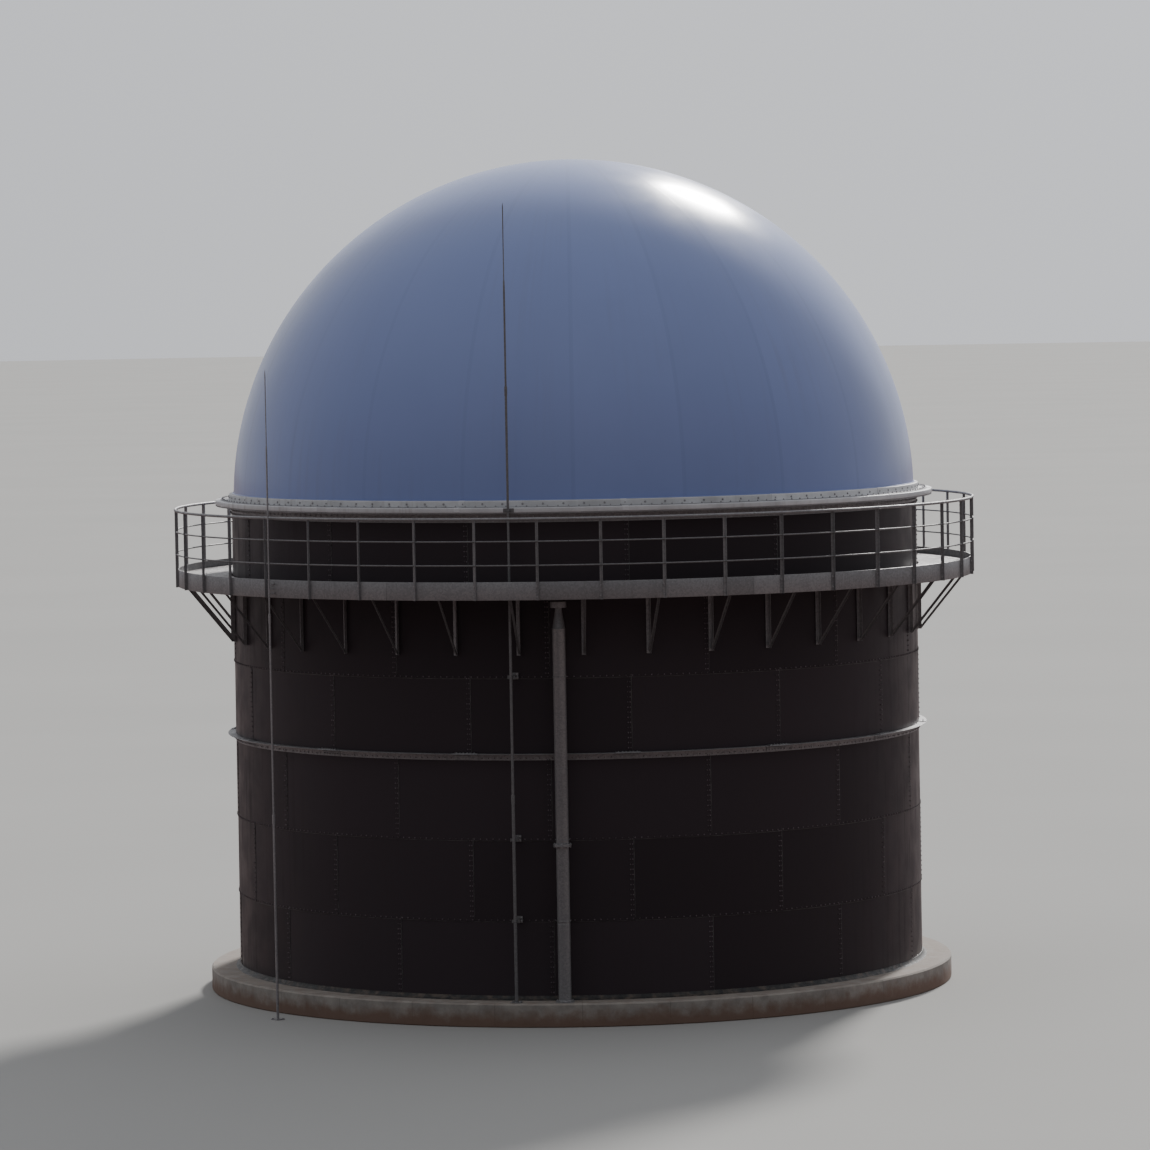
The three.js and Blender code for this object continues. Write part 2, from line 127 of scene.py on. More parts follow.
# Places that come from the frame
SLAB_OUTER, SLAB_TOP = reach("foundation_slab")[1::2]
_, WALL_OUTER, WALL_FOOT, FIRST_COURSE_TOP = reach("shell_course_1")
COURSE_HEIGHT = FIRST_COURSE_TOP - WALL_FOOT
WALL_TOP = WALL_FOOT + COURSES * COURSE_HEIGHT
WALL_FACE = WALL_OUTER + CLEAR
STIFFENER_FOOT, STIFFENER_OUTER, STIFFENER_LOW, STIFFENER_HIGH = reach("wall_stiffener_ring")
RIM_INNER, RIM_OUTER, RIM_LOW, RIM_HIGH = reach("rim_ring")
CLAMP_INNER, SHELF_OUTER, CLAMP_LOW, CLAMP_HIGH = reach("membrane_anchor_rail")
SHELF_HIGH, COLLAR_OUTER = step_of("membrane_anchor_rail")
_, DOME_RADIUS, DOME_LOW, DOME_TOP = reach("outer_membrane")
_, BAND_OUTER, BRACKET_LOW, BAND_HIGH = reach("walkway_sector_2")
POST_INNER, _, BAND_LOW, RAIL_HIGH = reach("handrail_panel_2")
DECK_TOP = RAIL_HIGH - DECK_BELOW_RAIL
MAST_TOP = reach("lightning_mast_front")[3]
LEFT_MAST_TOP = reach("lightning_mast_left")[3]
PIPE_TOP = reach("process_pipe")[3]


# Shapes

class Shape(NamedTuple):
    """Closed surfaces as whole arrays: points, faces grouped by how many corners they have, point tints."""

    points: np.ndarray
    faces: list
    tint: np.ndarray


def shaded(shape, tint):
    """A shape with one tint all over."""
    return shape._replace(tint=np.full(len(shape.points), tint))


def plain(points, faces):
    """A shape with the middle tint all over."""
    return Shape(points, faces, np.full(len(points), 0.5))


def even_turns(count, shift=0.0):
    """Evenly spaced bearings right round, the first one this share of a step on from bearing zero."""
    return (np.arange(count) + shift) * 2 * math.pi / count


def polar(bearing, radius, height):
    """Points at a bearing, a distance from the axis and a height: x = r sin b, y = -r cos b, z = h."""
    bearing, radius, height = np.broadcast_arrays(bearing, radius, height)
    return np.stack([radius * np.sin(bearing), -radius * np.cos(bearing), height], axis=-1)


def grid_faces(rows, columns, ring_rows, ring_columns):
    """The four-sided faces of a grid of points kept row by row, closed on itself where it is a ring."""
    row = np.arange(rows if ring_rows else rows - 1)[:, None]
    column = np.arange(columns if ring_columns else columns - 1)[None, :]
    next_row, next_column = (row + 1) % rows, (column + 1) % columns
    places = [(row, column), (next_row, column), (next_row, next_column), (row, next_column)]
    return np.stack([r * columns + c for r, c in places], axis=-1).reshape(-1, 4)


def swept(points, closed=False):
    """Sections along a path, one to a row, each an outline that closes on itself.

    A closed path joins its last section to its first, and an open one has a flat face at each end."""
    rows, columns = points.shape[:2]
    faces = [grid_faces(rows, columns, closed, True)]
    if not closed:
        end = np.arange(columns)
        faces += [end[None, :], (rows - 1) * columns + end[None, ::-1]]
    return plain(points.reshape(-1, 3), faces)


def carried(path, section, up, closed=False):
    """A section of [side, up] points carried along a path.

    Each point is the path's place + side * (travel x up) + height * up."""
    path, section = np.asarray(path, float), np.asarray(section, float)
    if closed:
        travel = np.roll(path, -1, 0) - np.roll(path, 1, 0)
    else:
        travel = np.gradient(path, axis=0)
    travel /= np.linalg.norm(travel, axis=1, keepdims=True)
    side = np.cross(travel, np.asarray(up, float))
    side /= np.linalg.norm(side, axis=1, keepdims=True)
    high = np.cross(side, travel)
    across = section[None, :, :1] * side[:, None]
    return swept(path[:, None] + across + section[None, :, 1:] * high[:, None], closed)


def round_tank(section, bearings, closed):
    """A section of [radius, height] points carried round the tank through these bearings."""
    section = np.asarray(section, float)
    return swept(polar(bearings[:, None], section[None, :, 0], section[None, :, 1]), closed)


def arc(section, start, end, steps):
    """A section of [radius, height] points carried round the tank from one bearing to another."""
    return round_tank(section, np.linspace(start, end, steps + 1), False)


def ring(section, sides=RING_SIDES):
    """A section of [radius, height] points carried right round the tank."""
    return round_tank(section, even_turns(sides), True)


def revolved(grid, start, end):
    """A surface of points kept bearing by bearing, closed round the axis, with one point at each end."""
    sides, columns = grid.shape[:2]
    row = np.arange(sides) * columns
    following = np.roll(row, -1)
    first_pole = np.full(sides, sides * columns)
    lower = np.stack([first_pole, following, row], axis=-1)
    upper = np.stack([row + columns - 1, following + columns - 1, first_pole + 1], axis=-1)
    points = np.concatenate([grid.reshape(-1, 3), [start, end]])
    return plain(points, [grid_faces(sides, columns, True, False), np.concatenate([lower, upper])])


def lathe(profile, sides):
    """A profile of [radius, height] from the axis to the axis, turned round it."""
    radius, height = np.asarray(profile, float).T
    grid = polar(even_turns(sides)[:, None], radius[None, 1:-1], height[None, 1:-1])
    return revolved(grid, (0, 0, height[0]), (0, 0, height[-1]))


def moved(shape, across=0.0, out=0.0, up=0.0):
    """A shape moved across, outwards and up at bearing zero."""
    return shape._replace(points=shape.points + np.array([across, -out, up]))


def tipped_out(shape):
    """A shape whose upright axis is laid down to point outwards: (x, y, z) goes to (x, -z, y)."""
    x, y, z = shape.points.T
    return shape._replace(points=np.stack([x, -z, y], axis=-1))


def turned(shape, bearings, across=0.0, out=0.0, up=0.0, tint=None):
    """Copies of a shape, each moved across, outwards and up and then turned to its bearing about the axis."""
    values = np.broadcast_arrays(*[np.ravel(v) for v in (bearings, across, out, up)])
    bearing, side, away, level = (v.astype(float)[:, None] for v in values)
    x = shape.points[None, :, 0] + side
    y = shape.points[None, :, 1] - away
    z = shape.points[None, :, 2] + level
    sine, cosine = np.sin(bearing), np.cos(bearing)
    points = np.stack([x * cosine - y * sine, x * sine + y * cosine, z], axis=-1)
    copies, count = points.shape[:2]
    step = np.arange(copies)[:, None, None] * count
    faces = [(f[None] + step).reshape(-1, f.shape[1]) for f in shape.faces]
    tints = np.tile(shape.tint, copies) if tint is None else np.repeat(np.ravel(tint), count)
    return Shape(points.reshape(-1, 3), faces, tints)


def joined(*shapes):
    """Several shapes as one."""
    faces, start = [], 0
    for shape in shapes:
        faces += [f + start for f in shape.faces]
        start += len(shape.points)
    points = np.concatenate([shape.points for shape in shapes])
    return Shape(points, faces, np.concatenate([shape.tint for shape in shapes]))


def smooth_random(values, seed, waves=7):
    """A smooth random curve that closes on itself: a sum of waves with whole numbers of turns."""
    draw = np.random.default_rng(seed)
    total = np.zeros_like(values)
    for _ in range(waves):
        turns = draw.integers(3, 60)
        total += draw.uniform(0.3, 1) * np.sin(turns * values + draw.uniform(0, 2 * math.pi))
    return total / waves


# Sections, drawn anticlockwise with the first axis to the right and the second up

def shifted(section, side, up):
    """A section moved sideways and up."""
    return np.array(section) + [side, up]


def mirrored(section):
    """A section turned round left to right, and still drawn anticlockwise."""
    return (np.array(section) * [-1, 1])[::-1]


def round_section(radius, sides):
    """A circle: [r cos t, r sin t]."""
    turn = even_turns(sides)
    return np.stack([radius * np.cos(turn), radius * np.sin(turn)], axis=-1)


def rounded_corner(side, up, radius, start, steps=4):
    """A quarter circle about a centre, anticlockwise from this angle in quarter turns."""
    turn = (start + np.linspace(0, 1, steps + 1)) * math.pi / 2
    return [(side + radius * math.cos(t), up + radius * math.sin(t)) for t in turn]


def flat_section(width, height, bevel):
    """A rectangle about its middle, with its corners cut."""
    w, h, b = width / 2, height / 2, bevel
    return [
        (b - w, -h), (w - b, -h), (w, b - h), (w, h - b),
        (w - b, h), (b - w, h), (-w, h - b), (-w, b - h),
    ]


def bar_section(width, thickness, bevel=BEVEL):
    """A flat bar that lies on the middle of its back, with its other two corners cut."""
    w, t, b = width / 2, thickness, bevel
    return [(-w, 0), (w, 0), (w, t - b), (w - b, t), (b - w, t), (-w, t - b)]


def angle_section(leg, thickness):
    """A rolled steel angle: one leg along each axis, and a small root between them."""
    root, toe = thickness * 0.8, thickness * 0.5
    return [
        (0, 0), (leg - toe, 0), (leg, toe), (leg, thickness), (thickness + root, thickness),
        (thickness, thickness + root), (thickness, leg), (toe, leg), (0, leg - toe),
    ]


def hanging_angle(leg, thickness):
    """An angle upside down: its level leg is on top, and its other leg hangs from the near edge."""
    return (np.array(angle_section(leg, thickness)) * [1, -1])[::-1]


# Small hardware at bearing zero

def plate(width, height, thickness, out, level, across=0.0):
    """A flat plate that stands upright about a level, with its back this far out."""
    flat = carried([(0, 0, -height / 2), (0, 0, height / 2)], bar_section(width, thickness), OUT)
    return moved(flat, across, out, level)


def upright_bar(away, low, high, section):
    """A bar of [side, outwards] section that stands at this distance from the axis."""
    return carried([(0, -away, low), (0, -away, high)], section, OUT)


def radial_bar(section, inner, outer, inner_level, outer_level):
    """A bar that runs outwards, between two distances and levels."""
    return carried([(0, -inner, inner_level), (0, -outer, outer_level)], section, UP)


def prism(radius, low, high, sides=6):
    """An upright prism between two levels."""
    return lathe([(0, low), (radius, low), (radius, high), (0, high)], sides)


def bolt_head(radius, height, sides=6):
    """A bolt's head that points outwards: a low prism with a domed end."""
    foot = -CLEAR
    return tipped_out(lathe([(0, foot), (radius, foot), (radius * 0.86, height), (0, height * 1.1)], sides))


def stud(radius, height, sides=6):
    """A bolt's head or nut that points up."""
    return lathe([(0, -CLEAR), (radius, -CLEAR), (radius, height * 0.8), (0, height)], sides)


def nut_and_washer(radius, height):
    """A hexagon nut on a round washer, with its bolt's end, pointing outwards."""
    rise, end = 0.003, height * 1.4
    washer = prism(radius * 1.5, -CLEAR, rise, 10)
    nut = lathe([(0, rise), (radius, rise), (radius, height), (radius * 0.5, end), (0, end)], 6)
    return tipped_out(joined(washer, nut))


def four_corners(half_across, half_other):
    """Places of four bolts about a middle: across, and along the other direction."""
    return np.repeat([-half_across, half_across], 2), np.tile([-half_other, half_other], 2)


def u_strap(radius, bar, back):
    """A round bar bent in a U about the upright axis, open towards the tank, with legs this far back."""
    turn = np.linspace(-math.pi / 2, math.pi / 2, 13)
    path = np.concatenate([[(-radius, back, 0)], polar(turn, radius, 0.0), [(radius, back, 0)]])
    return carried(path, round_section(bar, 8), UP)


# Making a piece

def piece(name, nodes, slot, *coats, bearing=None):
    """One object from its coats, each a material and the shapes that wear it, turned to its bearing.

    It rides on the tank and stands for these CAD nodes."""
    shapes = [joined(*worn) for _, *worn in coats]
    if bearing is not None:
        shapes = [turned(shape, bearing) for shape in shapes]
    whole = joined(*shapes)
    counts = [len(group) for group in whole.faces]
    sizes = np.repeat([group.shape[1] for group in whole.faces], counts)
    finishes = np.repeat([index for index, shape in enumerate(shapes) for _ in shape.faces], counts)
    around = np.concatenate([group.ravel() for group in whole.faces])
    mesh = bpy.data.meshes.new(name)
    for material, *_ in coats:
        mesh.materials.append(material)
    mesh.vertices.add(len(whole.points))
    mesh.vertices.foreach_set("co", whole.points.astype(np.float32).ravel())
    mesh.loops.add(len(around))
    mesh.loops.foreach_set("vertex_index", around.astype(np.int32))
    mesh.polygons.add(len(sizes))
    mesh.polygons.foreach_set("loop_start", (np.cumsum(sizes) - sizes).astype(np.int32))
    mesh.polygons.foreach_set("material_index", finishes.astype(np.int32))
    mesh.update(calc_edges=True)
    if mesh.validate():
        raise RuntimeError(f"{name} has faulty faces")
    mesh.shade_smooth()
    mesh.set_sharp_from_angle(angle=math.radians(32))
    tint = mesh.attributes.new("tint", "FLOAT", "POINT")
    tint.data.foreach_set("value", whole.tint.astype(np.float32))
    made = bpy.data.objects.new(name, mesh)
    bpy.context.scene.collection.objects.link(made)
    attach(made, "root")
    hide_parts(*nodes)
    return made


# Shader helpers

class Tree:
    """A node tree that is filled by short calls."""

    def __init__(self, tree):
        self.tree = tree

    def fill(self, socket, value):
        """Links a socket to another one, or sets its value, and leaves it alone for None."""
        if isinstance(value, bpy.types.NodeSocket):
            self.tree.links.new(value, socket)
        elif value is not None:
            socket.default_value = value

    def add(self, kind, *values, sockets=None, **settings):
        """A node with its settings, and its inputs filled in order or by name."""
        made = self.tree.nodes.new("ShaderNode" + kind)
        for name, value in settings.items():
            setattr(made, name, value)
        for socket, value in zip(made.inputs, values):
            self.fill(socket, value)
        for name, value in (sockets or {}).items():
            self.fill(made.inputs[name], value)
        return made

    def math(self, operation, *values):
        return self.add("Math", *values, operation=operation).outputs[0]

    def times(self, first, *others):
        """The product of several values."""
        for other in others:
            first = self.math("MULTIPLY", first, other)
        return first

    def plus(self, first, *others):
        """The sum of several values."""
        for other in others:
            first = self.math("ADD", first, other)
        return first

    def minus(self, first, second):
        return self.math("SUBTRACT", first, second)

    def ramp(self, value, low, high, to_low=0.0, to_high=1.0):
        """A value carried smoothly from one range to another."""
        made = self.add("MapRange", value, low, high, to_low, to_high, interpolation_type="SMOOTHSTEP")
        return made.outputs[0]

    def blend(self, share, first, second, mode="MIX"):
        made = self.add("Mix", data_type="RGBA", blend_type=mode)
        for index, value in ((0, share), (6, first), (7, second)):
            self.fill(made.inputs[index], value)
        return made.outputs[2]

    def place(self):
        """Object coordinates."""
        return self.add("TexCoord").outputs["Object"]

    def noise(self, scale, detail=3.0, roughness=0.5, vector=None):
        """Noise on the object's coordinates, or on a vector of its own."""
        vector = self.place() if vector is None else vector
        sockets = {"Vector": vector, "Scale": scale, "Detail": detail, "Roughness": roughness}
        return self.add("TexNoise", sockets=sockets).outputs[0]

    def clouds(self, scale, detail=3.0, roughness=0.5, low=0.0, high=1.0):
        """Noise that is spread out over a range."""
        return self.ramp(self.noise(scale, detail, roughness), 0.3, 0.7, low, high)

    def use(self, group, **inputs):
        """A shared effect with its own values."""
        made = self.tree.nodes.new("ShaderNodeGroup")
        made.node_tree = group
        for name, value in inputs.items():
            self.fill(made.inputs[name.replace("_", " ")], value)
        return made.outputs

    def streaked(self, colour, streak, amount, spacing=60.0):
        """A colour with marks of another colour that run down it."""
        return self.use(rain_streaks(), Colour=colour, Streak_Colour=streak, Amount=amount, Spacing=spacing)

    def dusty(self, colour, dust, amount):
        """A colour with dust of another colour on what faces up."""
        return self.use(settled_dust(), Colour=colour, Dust_Colour=dust, Amount=amount)

    def bump(self, height, strength, distance):
        sockets = {"Height": height, "Strength": strength, "Distance": distance}
        return self.add("Bump", sockets=sockets).outputs[0]

    def tinted(self, colour, least=0.88, most=1.12):
        """A colour made a little darker or lighter by the piece's own tint."""
        tint = self.add("Attribute", attribute_name="tint").outputs["Fac"]
        grey = self.ramp(tint, 0.0, 1.0, least, most)
        shade = self.add("CombineColor", grey, grey, grey).outputs[0]
        return self.blend(1.0, colour, shade, "MULTIPLY")


def effect(name, **defaults):
    """Makes a shared effect, once, of a function that gives its outputs by name. Its inputs have defaults."""
    kinds = {True: "NodeSocketColor", False: "NodeSocketFloat"}

    def wrap(build):
        def shared():
            found = bpy.data.node_groups.get(name)
            if found:
                return found
            group = bpy.data.node_groups.new(name, "ShaderNodeTree")
            for label, default in defaults.items():
                kind = kinds[isinstance(default, tuple)]
                socket = group.interface.new_socket(label.replace("_", " "), in_out="INPUT", socket_type=kind)
                socket.default_value = default
            outputs = build(Tree(group), group.nodes.new("NodeGroupInput").outputs)
            ends = group.nodes.new("NodeGroupOutput").inputs
            for label, value in outputs.items():
                group.interface.new_socket(label, in_out="OUTPUT", socket_type=kinds[value.type == "RGBA"])
                group.links.new(value, ends[label])
            return group
        return shared
    return wrap


def finish(name):
    """Makes a material, once, of a function that gives its main shader's inputs by name."""
    def wrap(build):
        def material():
            found = bpy.data.materials.get(name)
            if found:
                return found
            made = bpy.data.materials.new(name)
            made.use_nodes = True
            tree = Tree(made.node_tree)
            inputs = made.node_tree.nodes["Principled BSDF"].inputs
            for socket, value in build(tree).items():
                tree.fill(inputs[socket], value)
            return made
        return material
    return wrap


def colour_of(values, shade=1.0):
    """A colour property as four numbers, made darker or lighter."""
    return tuple(v * shade for v in values[:3]) + (1.0,)


def paint(name, shade=1.0):
    """One of the user's colours, made darker or lighter."""
    return colour_of(getattr(bpy.context.scene.holder_finishes, name), shade)


# Shared effects

GREY = (0.5, 0.5, 0.5, 1)


@effect("Tank position")
def tank_position(tree, _):
    """Bearing in radians, distance from the axis and height, worked out from the object's coordinates."""
    x, y, z = tree.add("SeparateXYZ", tree.place()).outputs
    bearing = tree.math("ARCTAN2", x, tree.times(y, -1.0))
    distance = tree.math("SQRT", tree.plus(tree.times(x, x), tree.times(y, y)))
    return {"Bearing": bearing, "Distance": distance, "Height": z}


@effect("Rain streaks", Colour=GREY, Streak_Colour=GREY, Amount=0.3, Spacing=60.0)
def rain_streaks(tree, given):
    """Narrow marks that run down the surface: noise that is fine round the tank and long in height."""
    bearing, _, height = tree.use(tank_position())
    along = tree.times(tree.math("SINE", bearing), given["Spacing"])
    aside = tree.times(tree.math("COSINE", bearing), given["Spacing"])
    place = tree.add("CombineXYZ", along, aside, tree.times(height, 0.35)).outputs[0]
    fine = tree.ramp(tree.noise(1.0, 4.0, 0.6, place), 0.48, 0.72)
    patch = tree.ramp(tree.noise(0.35, 2.0), 0.35, 0.65)
    mask = tree.times(fine, patch, given["Amount"])
    return {"Colour": tree.blend(mask, given["Colour"], given["Streak Colour"]), "Mask": mask}


@effect("Settled dust", Colour=GREY, Dust_Colour=GREY, Amount=0.5)
def settled_dust(tree, given):
    """Dust where the surface faces up, broken up by noise."""
    facing = tree.add("SeparateXYZ", tree.add("NewGeometry").outputs["Normal"]).outputs[2]
    patches = tree.ramp(tree.noise(6.0, 5.0, 0.6), 0.3, 0.75, 0.35, 1.0)
    mask = tree.times(tree.ramp(facing, 0.35, 1.0), patches, given["Amount"])
    return {"Colour": tree.blend(mask, given["Colour"], given["Dust Colour"]), "Mask": mask}


@effect("Zinc spangle", Light=GREY, Dark=GREY, Scale=45.0)
def zinc_spangle(tree, given):
    """Crystals of hot-dip zinc: cells of slightly different grey and gloss, with a cloudy drift over them."""
    cells = tree.add("TexVoronoi", sockets={"Vector": tree.place(), "Scale": given["Scale"]}).outputs["Color"]
    value = tree.add("SeparateColor", cells).outputs[0]
    spread = tree.plus(tree.times(value, 0.55), tree.times(tree.noise(1.7, 4.0, 0.55), 0.55))
    return {
        "Colour": tree.blend(tree.ramp(spread, 0.15, 0.95), given["Dark"], given["Light"]),
        "Roughness": tree.ramp(spread, 0.1, 1.0, 0.62, 0.4),
        "Height": tree.noise(90.0),
    }


@effect("Cloth weave", Threads=1200.0)
def cloth_weave(tree, given):
    """Crossing threads of a coated cloth, round the tank and up it: the product of two waves."""
    bearing, distance, height = tree.use(tank_position())
    round_it = tree.math("SINE", tree.times(bearing, distance, given["Threads"]))
    up_it = tree.math("SINE", tree.times(height, given["Threads"]))
    return {"Height": tree.times(round_it, up_it), "Drift": tree.noise(1.1)}


@effect("Gore seams", Gores=20.0, Width=0.06, Crown=0.8)
def gore_seams(tree, given):
    """The welded strips between a dome's gores, of one width all the way up, and the patch on its crown."""
    bearing, distance, _ = tree.use(tank_position())
    turns = tree.times(tree.math("DIVIDE", bearing, 2 * math.pi), given["Gores"])
    share = tree.math("ABSOLUTE", tree.minus(tree.math("FRACT", turns), 0.5))
    gore_width = tree.math("DIVIDE", tree.times(distance, 2 * math.pi), given["Gores"])
    off_seam = tree.times(tree.minus(0.5, share), gore_width)
    strip = tree.ramp(tree.minus(tree.times(given["Width"], 0.5), off_seam), -0.002, 0.002)
    patch = tree.ramp(tree.minus(given["Crown"], distance), -0.003, 0.003)
    return {"Mask": tree.math("MAXIMUM", strip, patch), "Gore": tree.math("FLOOR", turns)}


@effect("Coating grain", Swell=3.0, Grain=140.0)
def coating_grain(tree, given):
    """The fine unevenness of a coat: broad swell and a smaller grain."""
    swell = tree.times(tree.noise(given["Swell"], 2.0), 0.7)
    return {"Height": tree.plus(swell, tree.times(tree.noise(given["Grain"], 3.0, 0.6), 0.3))}


# Finishes

@finish("Black enamel")
def enamel(tree):
    """Black glass enamel with faint chalky streaks, dust on its upper edges and a slight swell."""
    base = tree.tinted(paint("enamel"), 0.85, 1.18)
    streaked = tree.streaked(base, paint("dust", 0.16), 0.16)
    grain = tree.use(coating_grain(), Swell=2.2, Grain=160.0)["Height"]
    return {
        "Base Color": tree.dusty(streaked["Colour"], paint("dust", 0.6), 0.8)["Colour"],
        "Roughness": tree.plus(tree.clouds(2.3, 4.0, low=0.3, high=0.44), streaked["Mask"]),
        "Specular IOR Level": 0.12,
        "Normal": tree.bump(grain, 0.25, 0.004),
    }


@finish("Bolt cap plastic")
def cap_plastic(tree):
    """The black caps of the sheets' bolts."""
    base = tree.tinted(paint("enamel", 2.2), 0.6, 1.5)
    return {
        "Base Color": tree.dusty(base, paint("dust", 0.7), 0.7)["Colour"],
        "Roughness": tree.clouds(30.0, low=0.38, high=0.6),
    }


@finish("Lap sealant")
def sealant(tree):
    """The grey bead along the sheets' laps, uneven where it was smoothed by hand."""
    return {
        "Base Color": tree.blend(tree.clouds(9.0, 4.0), (0.045, 0.044, 0.045, 1), (0.11, 0.108, 0.105, 1)),
        "Roughness": tree.clouds(40.0, low=0.5, high=0.75),
        "Normal": tree.bump(tree.noise(70.0), 0.5, 0.003),
    }


@finish("Foot mastic")
def mastic(tree):
    """The black mastic fillet that seals the wall's foot."""
    cloudy = tree.ramp(tree.noise(8.0, 4.0), 0.4, 0.8)
    return {
        "Base Color": tree.blend(cloudy, (0.02, 0.02, 0.02, 1), (0.12, 0.09, 0.07, 1)),
        "Roughness": tree.clouds(25.0, low=0.45, high=0.7),
        "Normal": tree.bump(tree.noise(30.0, 4.0), 0.6, 0.006),
    }


def galvanised(name, light, dark, metallic, rust):
    """Hot-dip zinc with its spangle, dulled by weather, with streaks and dust and a few brown specks."""
    @finish(name)
    def coat(tree):
        spangle = tree.use(zinc_spangle(), Light=paint("zinc", light), Dark=paint("zinc", dark))
        streaked = tree.streaked(tree.tinted(spangle["Colour"]), paint("zinc", 0.55), 0.35, 90.0)
        speck = tree.ramp(tree.noise(22.0, 5.0, 0.7), 0.66, 0.74, 0.0, rust)
        specked = tree.blend(speck, streaked["Colour"], (0.16, 0.075, 0.035, 1))
        dusty = tree.dusty(specked, paint("dust"), 0.3)
        return {
            "Base Color": dusty["Colour"],
            "Roughness": spangle["Roughness"],
            "Metallic": tree.ramp(tree.plus(dusty["Mask"], speck), 0.0, 0.6, metallic, 0.0),
            "Normal": tree.bump(spangle["Height"], 0.15, 0.002),
        }

    return coat()


def zinc():
    """The rings, edge band, brackets, posts, top rail, pipe, ladder and cage."""
    return galvanised("Galvanised steel", 1.0, 0.8, 0.5, 0.3)


def shade_darkened_zinc():
    """A darker copy of the zinc, painted shade on the brackets' struts and the rails below the top one; the
    front mast wears it too.
    """
    return galvanised("Weathered galvanised steel", 0.7, 0.55, 0.35, 0.35)


def bright_zinc():
    """Bolts, nuts and the left mast, newer and brighter than what is near them."""
    return galvanised("Plated fastener", 1.3, 1.05, 0.7, 0.4)


@finish("Tread plate")
def tread_plate(tree):
    """Galvanised chequer plate: raised lozenges that lie across each other by turns, worn bright on top."""
    bearing, distance, _ = tree.use(tank_position())
    pitch = 2 * math.pi / 0.034
    round_it = tree.math("SINE", tree.times(bearing, 5.8, pitch))
    out_it = tree.math("SINE", tree.times(distance, pitch))
    bars = tree.ramp(tree.math("ABSOLUTE", tree.times(round_it, out_it)), 0.45, 0.8)
    spangle = tree.use(zinc_spangle(), Light=paint("zinc"), Dark=paint("zinc", 0.6))
    worn = tree.blend(tree.times(bars, 0.35), tree.tinted(spangle["Colour"]), paint("zinc", 1.4))
    dusty = tree.dusty(worn, paint("dust"), 0.55)
    return {
        "Base Color": dusty["Colour"],
        "Roughness": spangle["Roughness"],
        "Metallic": tree.ramp(dusty["Mask"], 0.0, 0.6, 0.6, 0.0),
        "Normal": tree.bump(bars, 0.7, 0.002),
    }


@finish("Pale clamping steel")
def pale_steel(tree):
    """The pale clamping rail round the rim: painted steel with chalk, runs and dust."""
    cloudy = tree.clouds(2.5, 5.0, 0.6)
    base = tree.tinted(tree.blend(cloudy, paint("clamp", 0.86), paint("clamp", 1.08)))
    streaked = tree.streaked(base, paint("dust", 0.8), 0.3, 70.0)
    grain = tree.use(coating_grain(), Swell=14.0, Grain=220.0)["Height"]
    return {
        "Base Color": tree.dusty(streaked["Colour"], paint("dust"), 0.35)["Colour"],
        "Roughness": tree.ramp(cloudy, 0.0, 1.0, 0.38, 0.55),
        "Normal": tree.bump(grain, 0.2, 0.002),
    }


@finish("Dome fabric")
def dome_fabric(tree):
    """Pale blue coated cloth: gores of slightly different shade, welded strips, fine weave, a glossy coat."""
    cloth = bpy.context.scene.holder_membranes
    gores, crown = float(cloth.gores), cloth.crown_radius
    seams = tree.use(gore_seams(), Gores=gores, Width=cloth.strip_width, Crown=crown)
    random = tree.add("TexWhiteNoise", noise_dimensions="1D", sockets={"W": seams["Gore"]}).outputs[0]
    shade = tree.blend(random, paint("dome", 0.975), paint("dome", 1.025))
    weave = tree.use(cloth_weave())
    cloudy = tree.blend(tree.ramp(weave["Drift"], 0.3, 0.7, 0.0, 0.35), shade, paint("dome", 0.93))
    strip = tree.blend(tree.times(seams["Mask"], 0.5), cloudy, paint("dome", 0.9))
    streaked = tree.streaked(strip, paint("dust", 0.7), 0.09, 45.0)
    return {
        "Base Color": streaked["Colour"],
        "Roughness": tree.ramp(weave["Drift"], 0.3, 0.7, 0.2, 0.25),
        "Specular IOR Level": 0.5,
        "Normal": tree.bump(tree.plus(tree.times(weave["Height"], 0.03), seams["Mask"]), 0.16, 0.0012),
    }


@finish("Inner fabric")
def inner_fabric(tree):
    """Off-white coated cloth of the gas membrane."""
    weave = tree.use(cloth_weave(), Threads=900.0)
    cloudy = tree.ramp(weave["Drift"], 0.3, 0.7)
    return {
        "Base Color": tree.blend(cloudy, paint("inner", 0.9), paint("inner", 1.06)),
        "Roughness": tree.ramp(weave["Drift"], 0.3, 0.7, 0.5, 0.62),
        "Normal": tree.bump(weave["Height"], 0.3, 0.001),
    }


@finish("Cast concrete")
def concrete(tree):
    """Cast concrete: mottled grey, pores, faint marks of its forms and red soil splashed on its foot."""
    bearing, _, height = tree.use(tank_position())
    mottle = tree.clouds(3.5, 6.0, 0.65)
    base = tree.blend(mottle, paint("concrete", 0.72), paint("concrete", 1.12))
    joint = tree.math("ABSOLUTE", tree.minus(tree.math("FRACT", tree.times(bearing, 4.456)), 0.5))
    line = tree.ramp(joint, 0.492, 0.5)
    lined = tree.blend(tree.times(line, 0.5), base, paint("concrete", 0.45))
    splash = tree.plus(height, tree.times(tree.noise(5.0, 5.0, 0.6), -0.35))
    soiled = tree.blend(tree.ramp(splash, 0.14, -0.1, 0.0, 0.85), lined, paint("soil"))
    pores = tree.ramp(tree.noise(45.0, 4.0, 0.6), 0.3, 0.45)
    rough = tree.plus(tree.times(pores, 0.5), tree.noise(12.0, 4.0))
    return {
        "Base Color": tree.dusty(soiled, paint("soil", 1.4), 0.45)["Colour"],
        "Roughness": tree.ramp(mottle, 0.0, 1.0, 0.82, 0.95),
        "Normal": tree.bump(tree.minus(rough, line), 0.6, 0.004),
    }


# Foundation

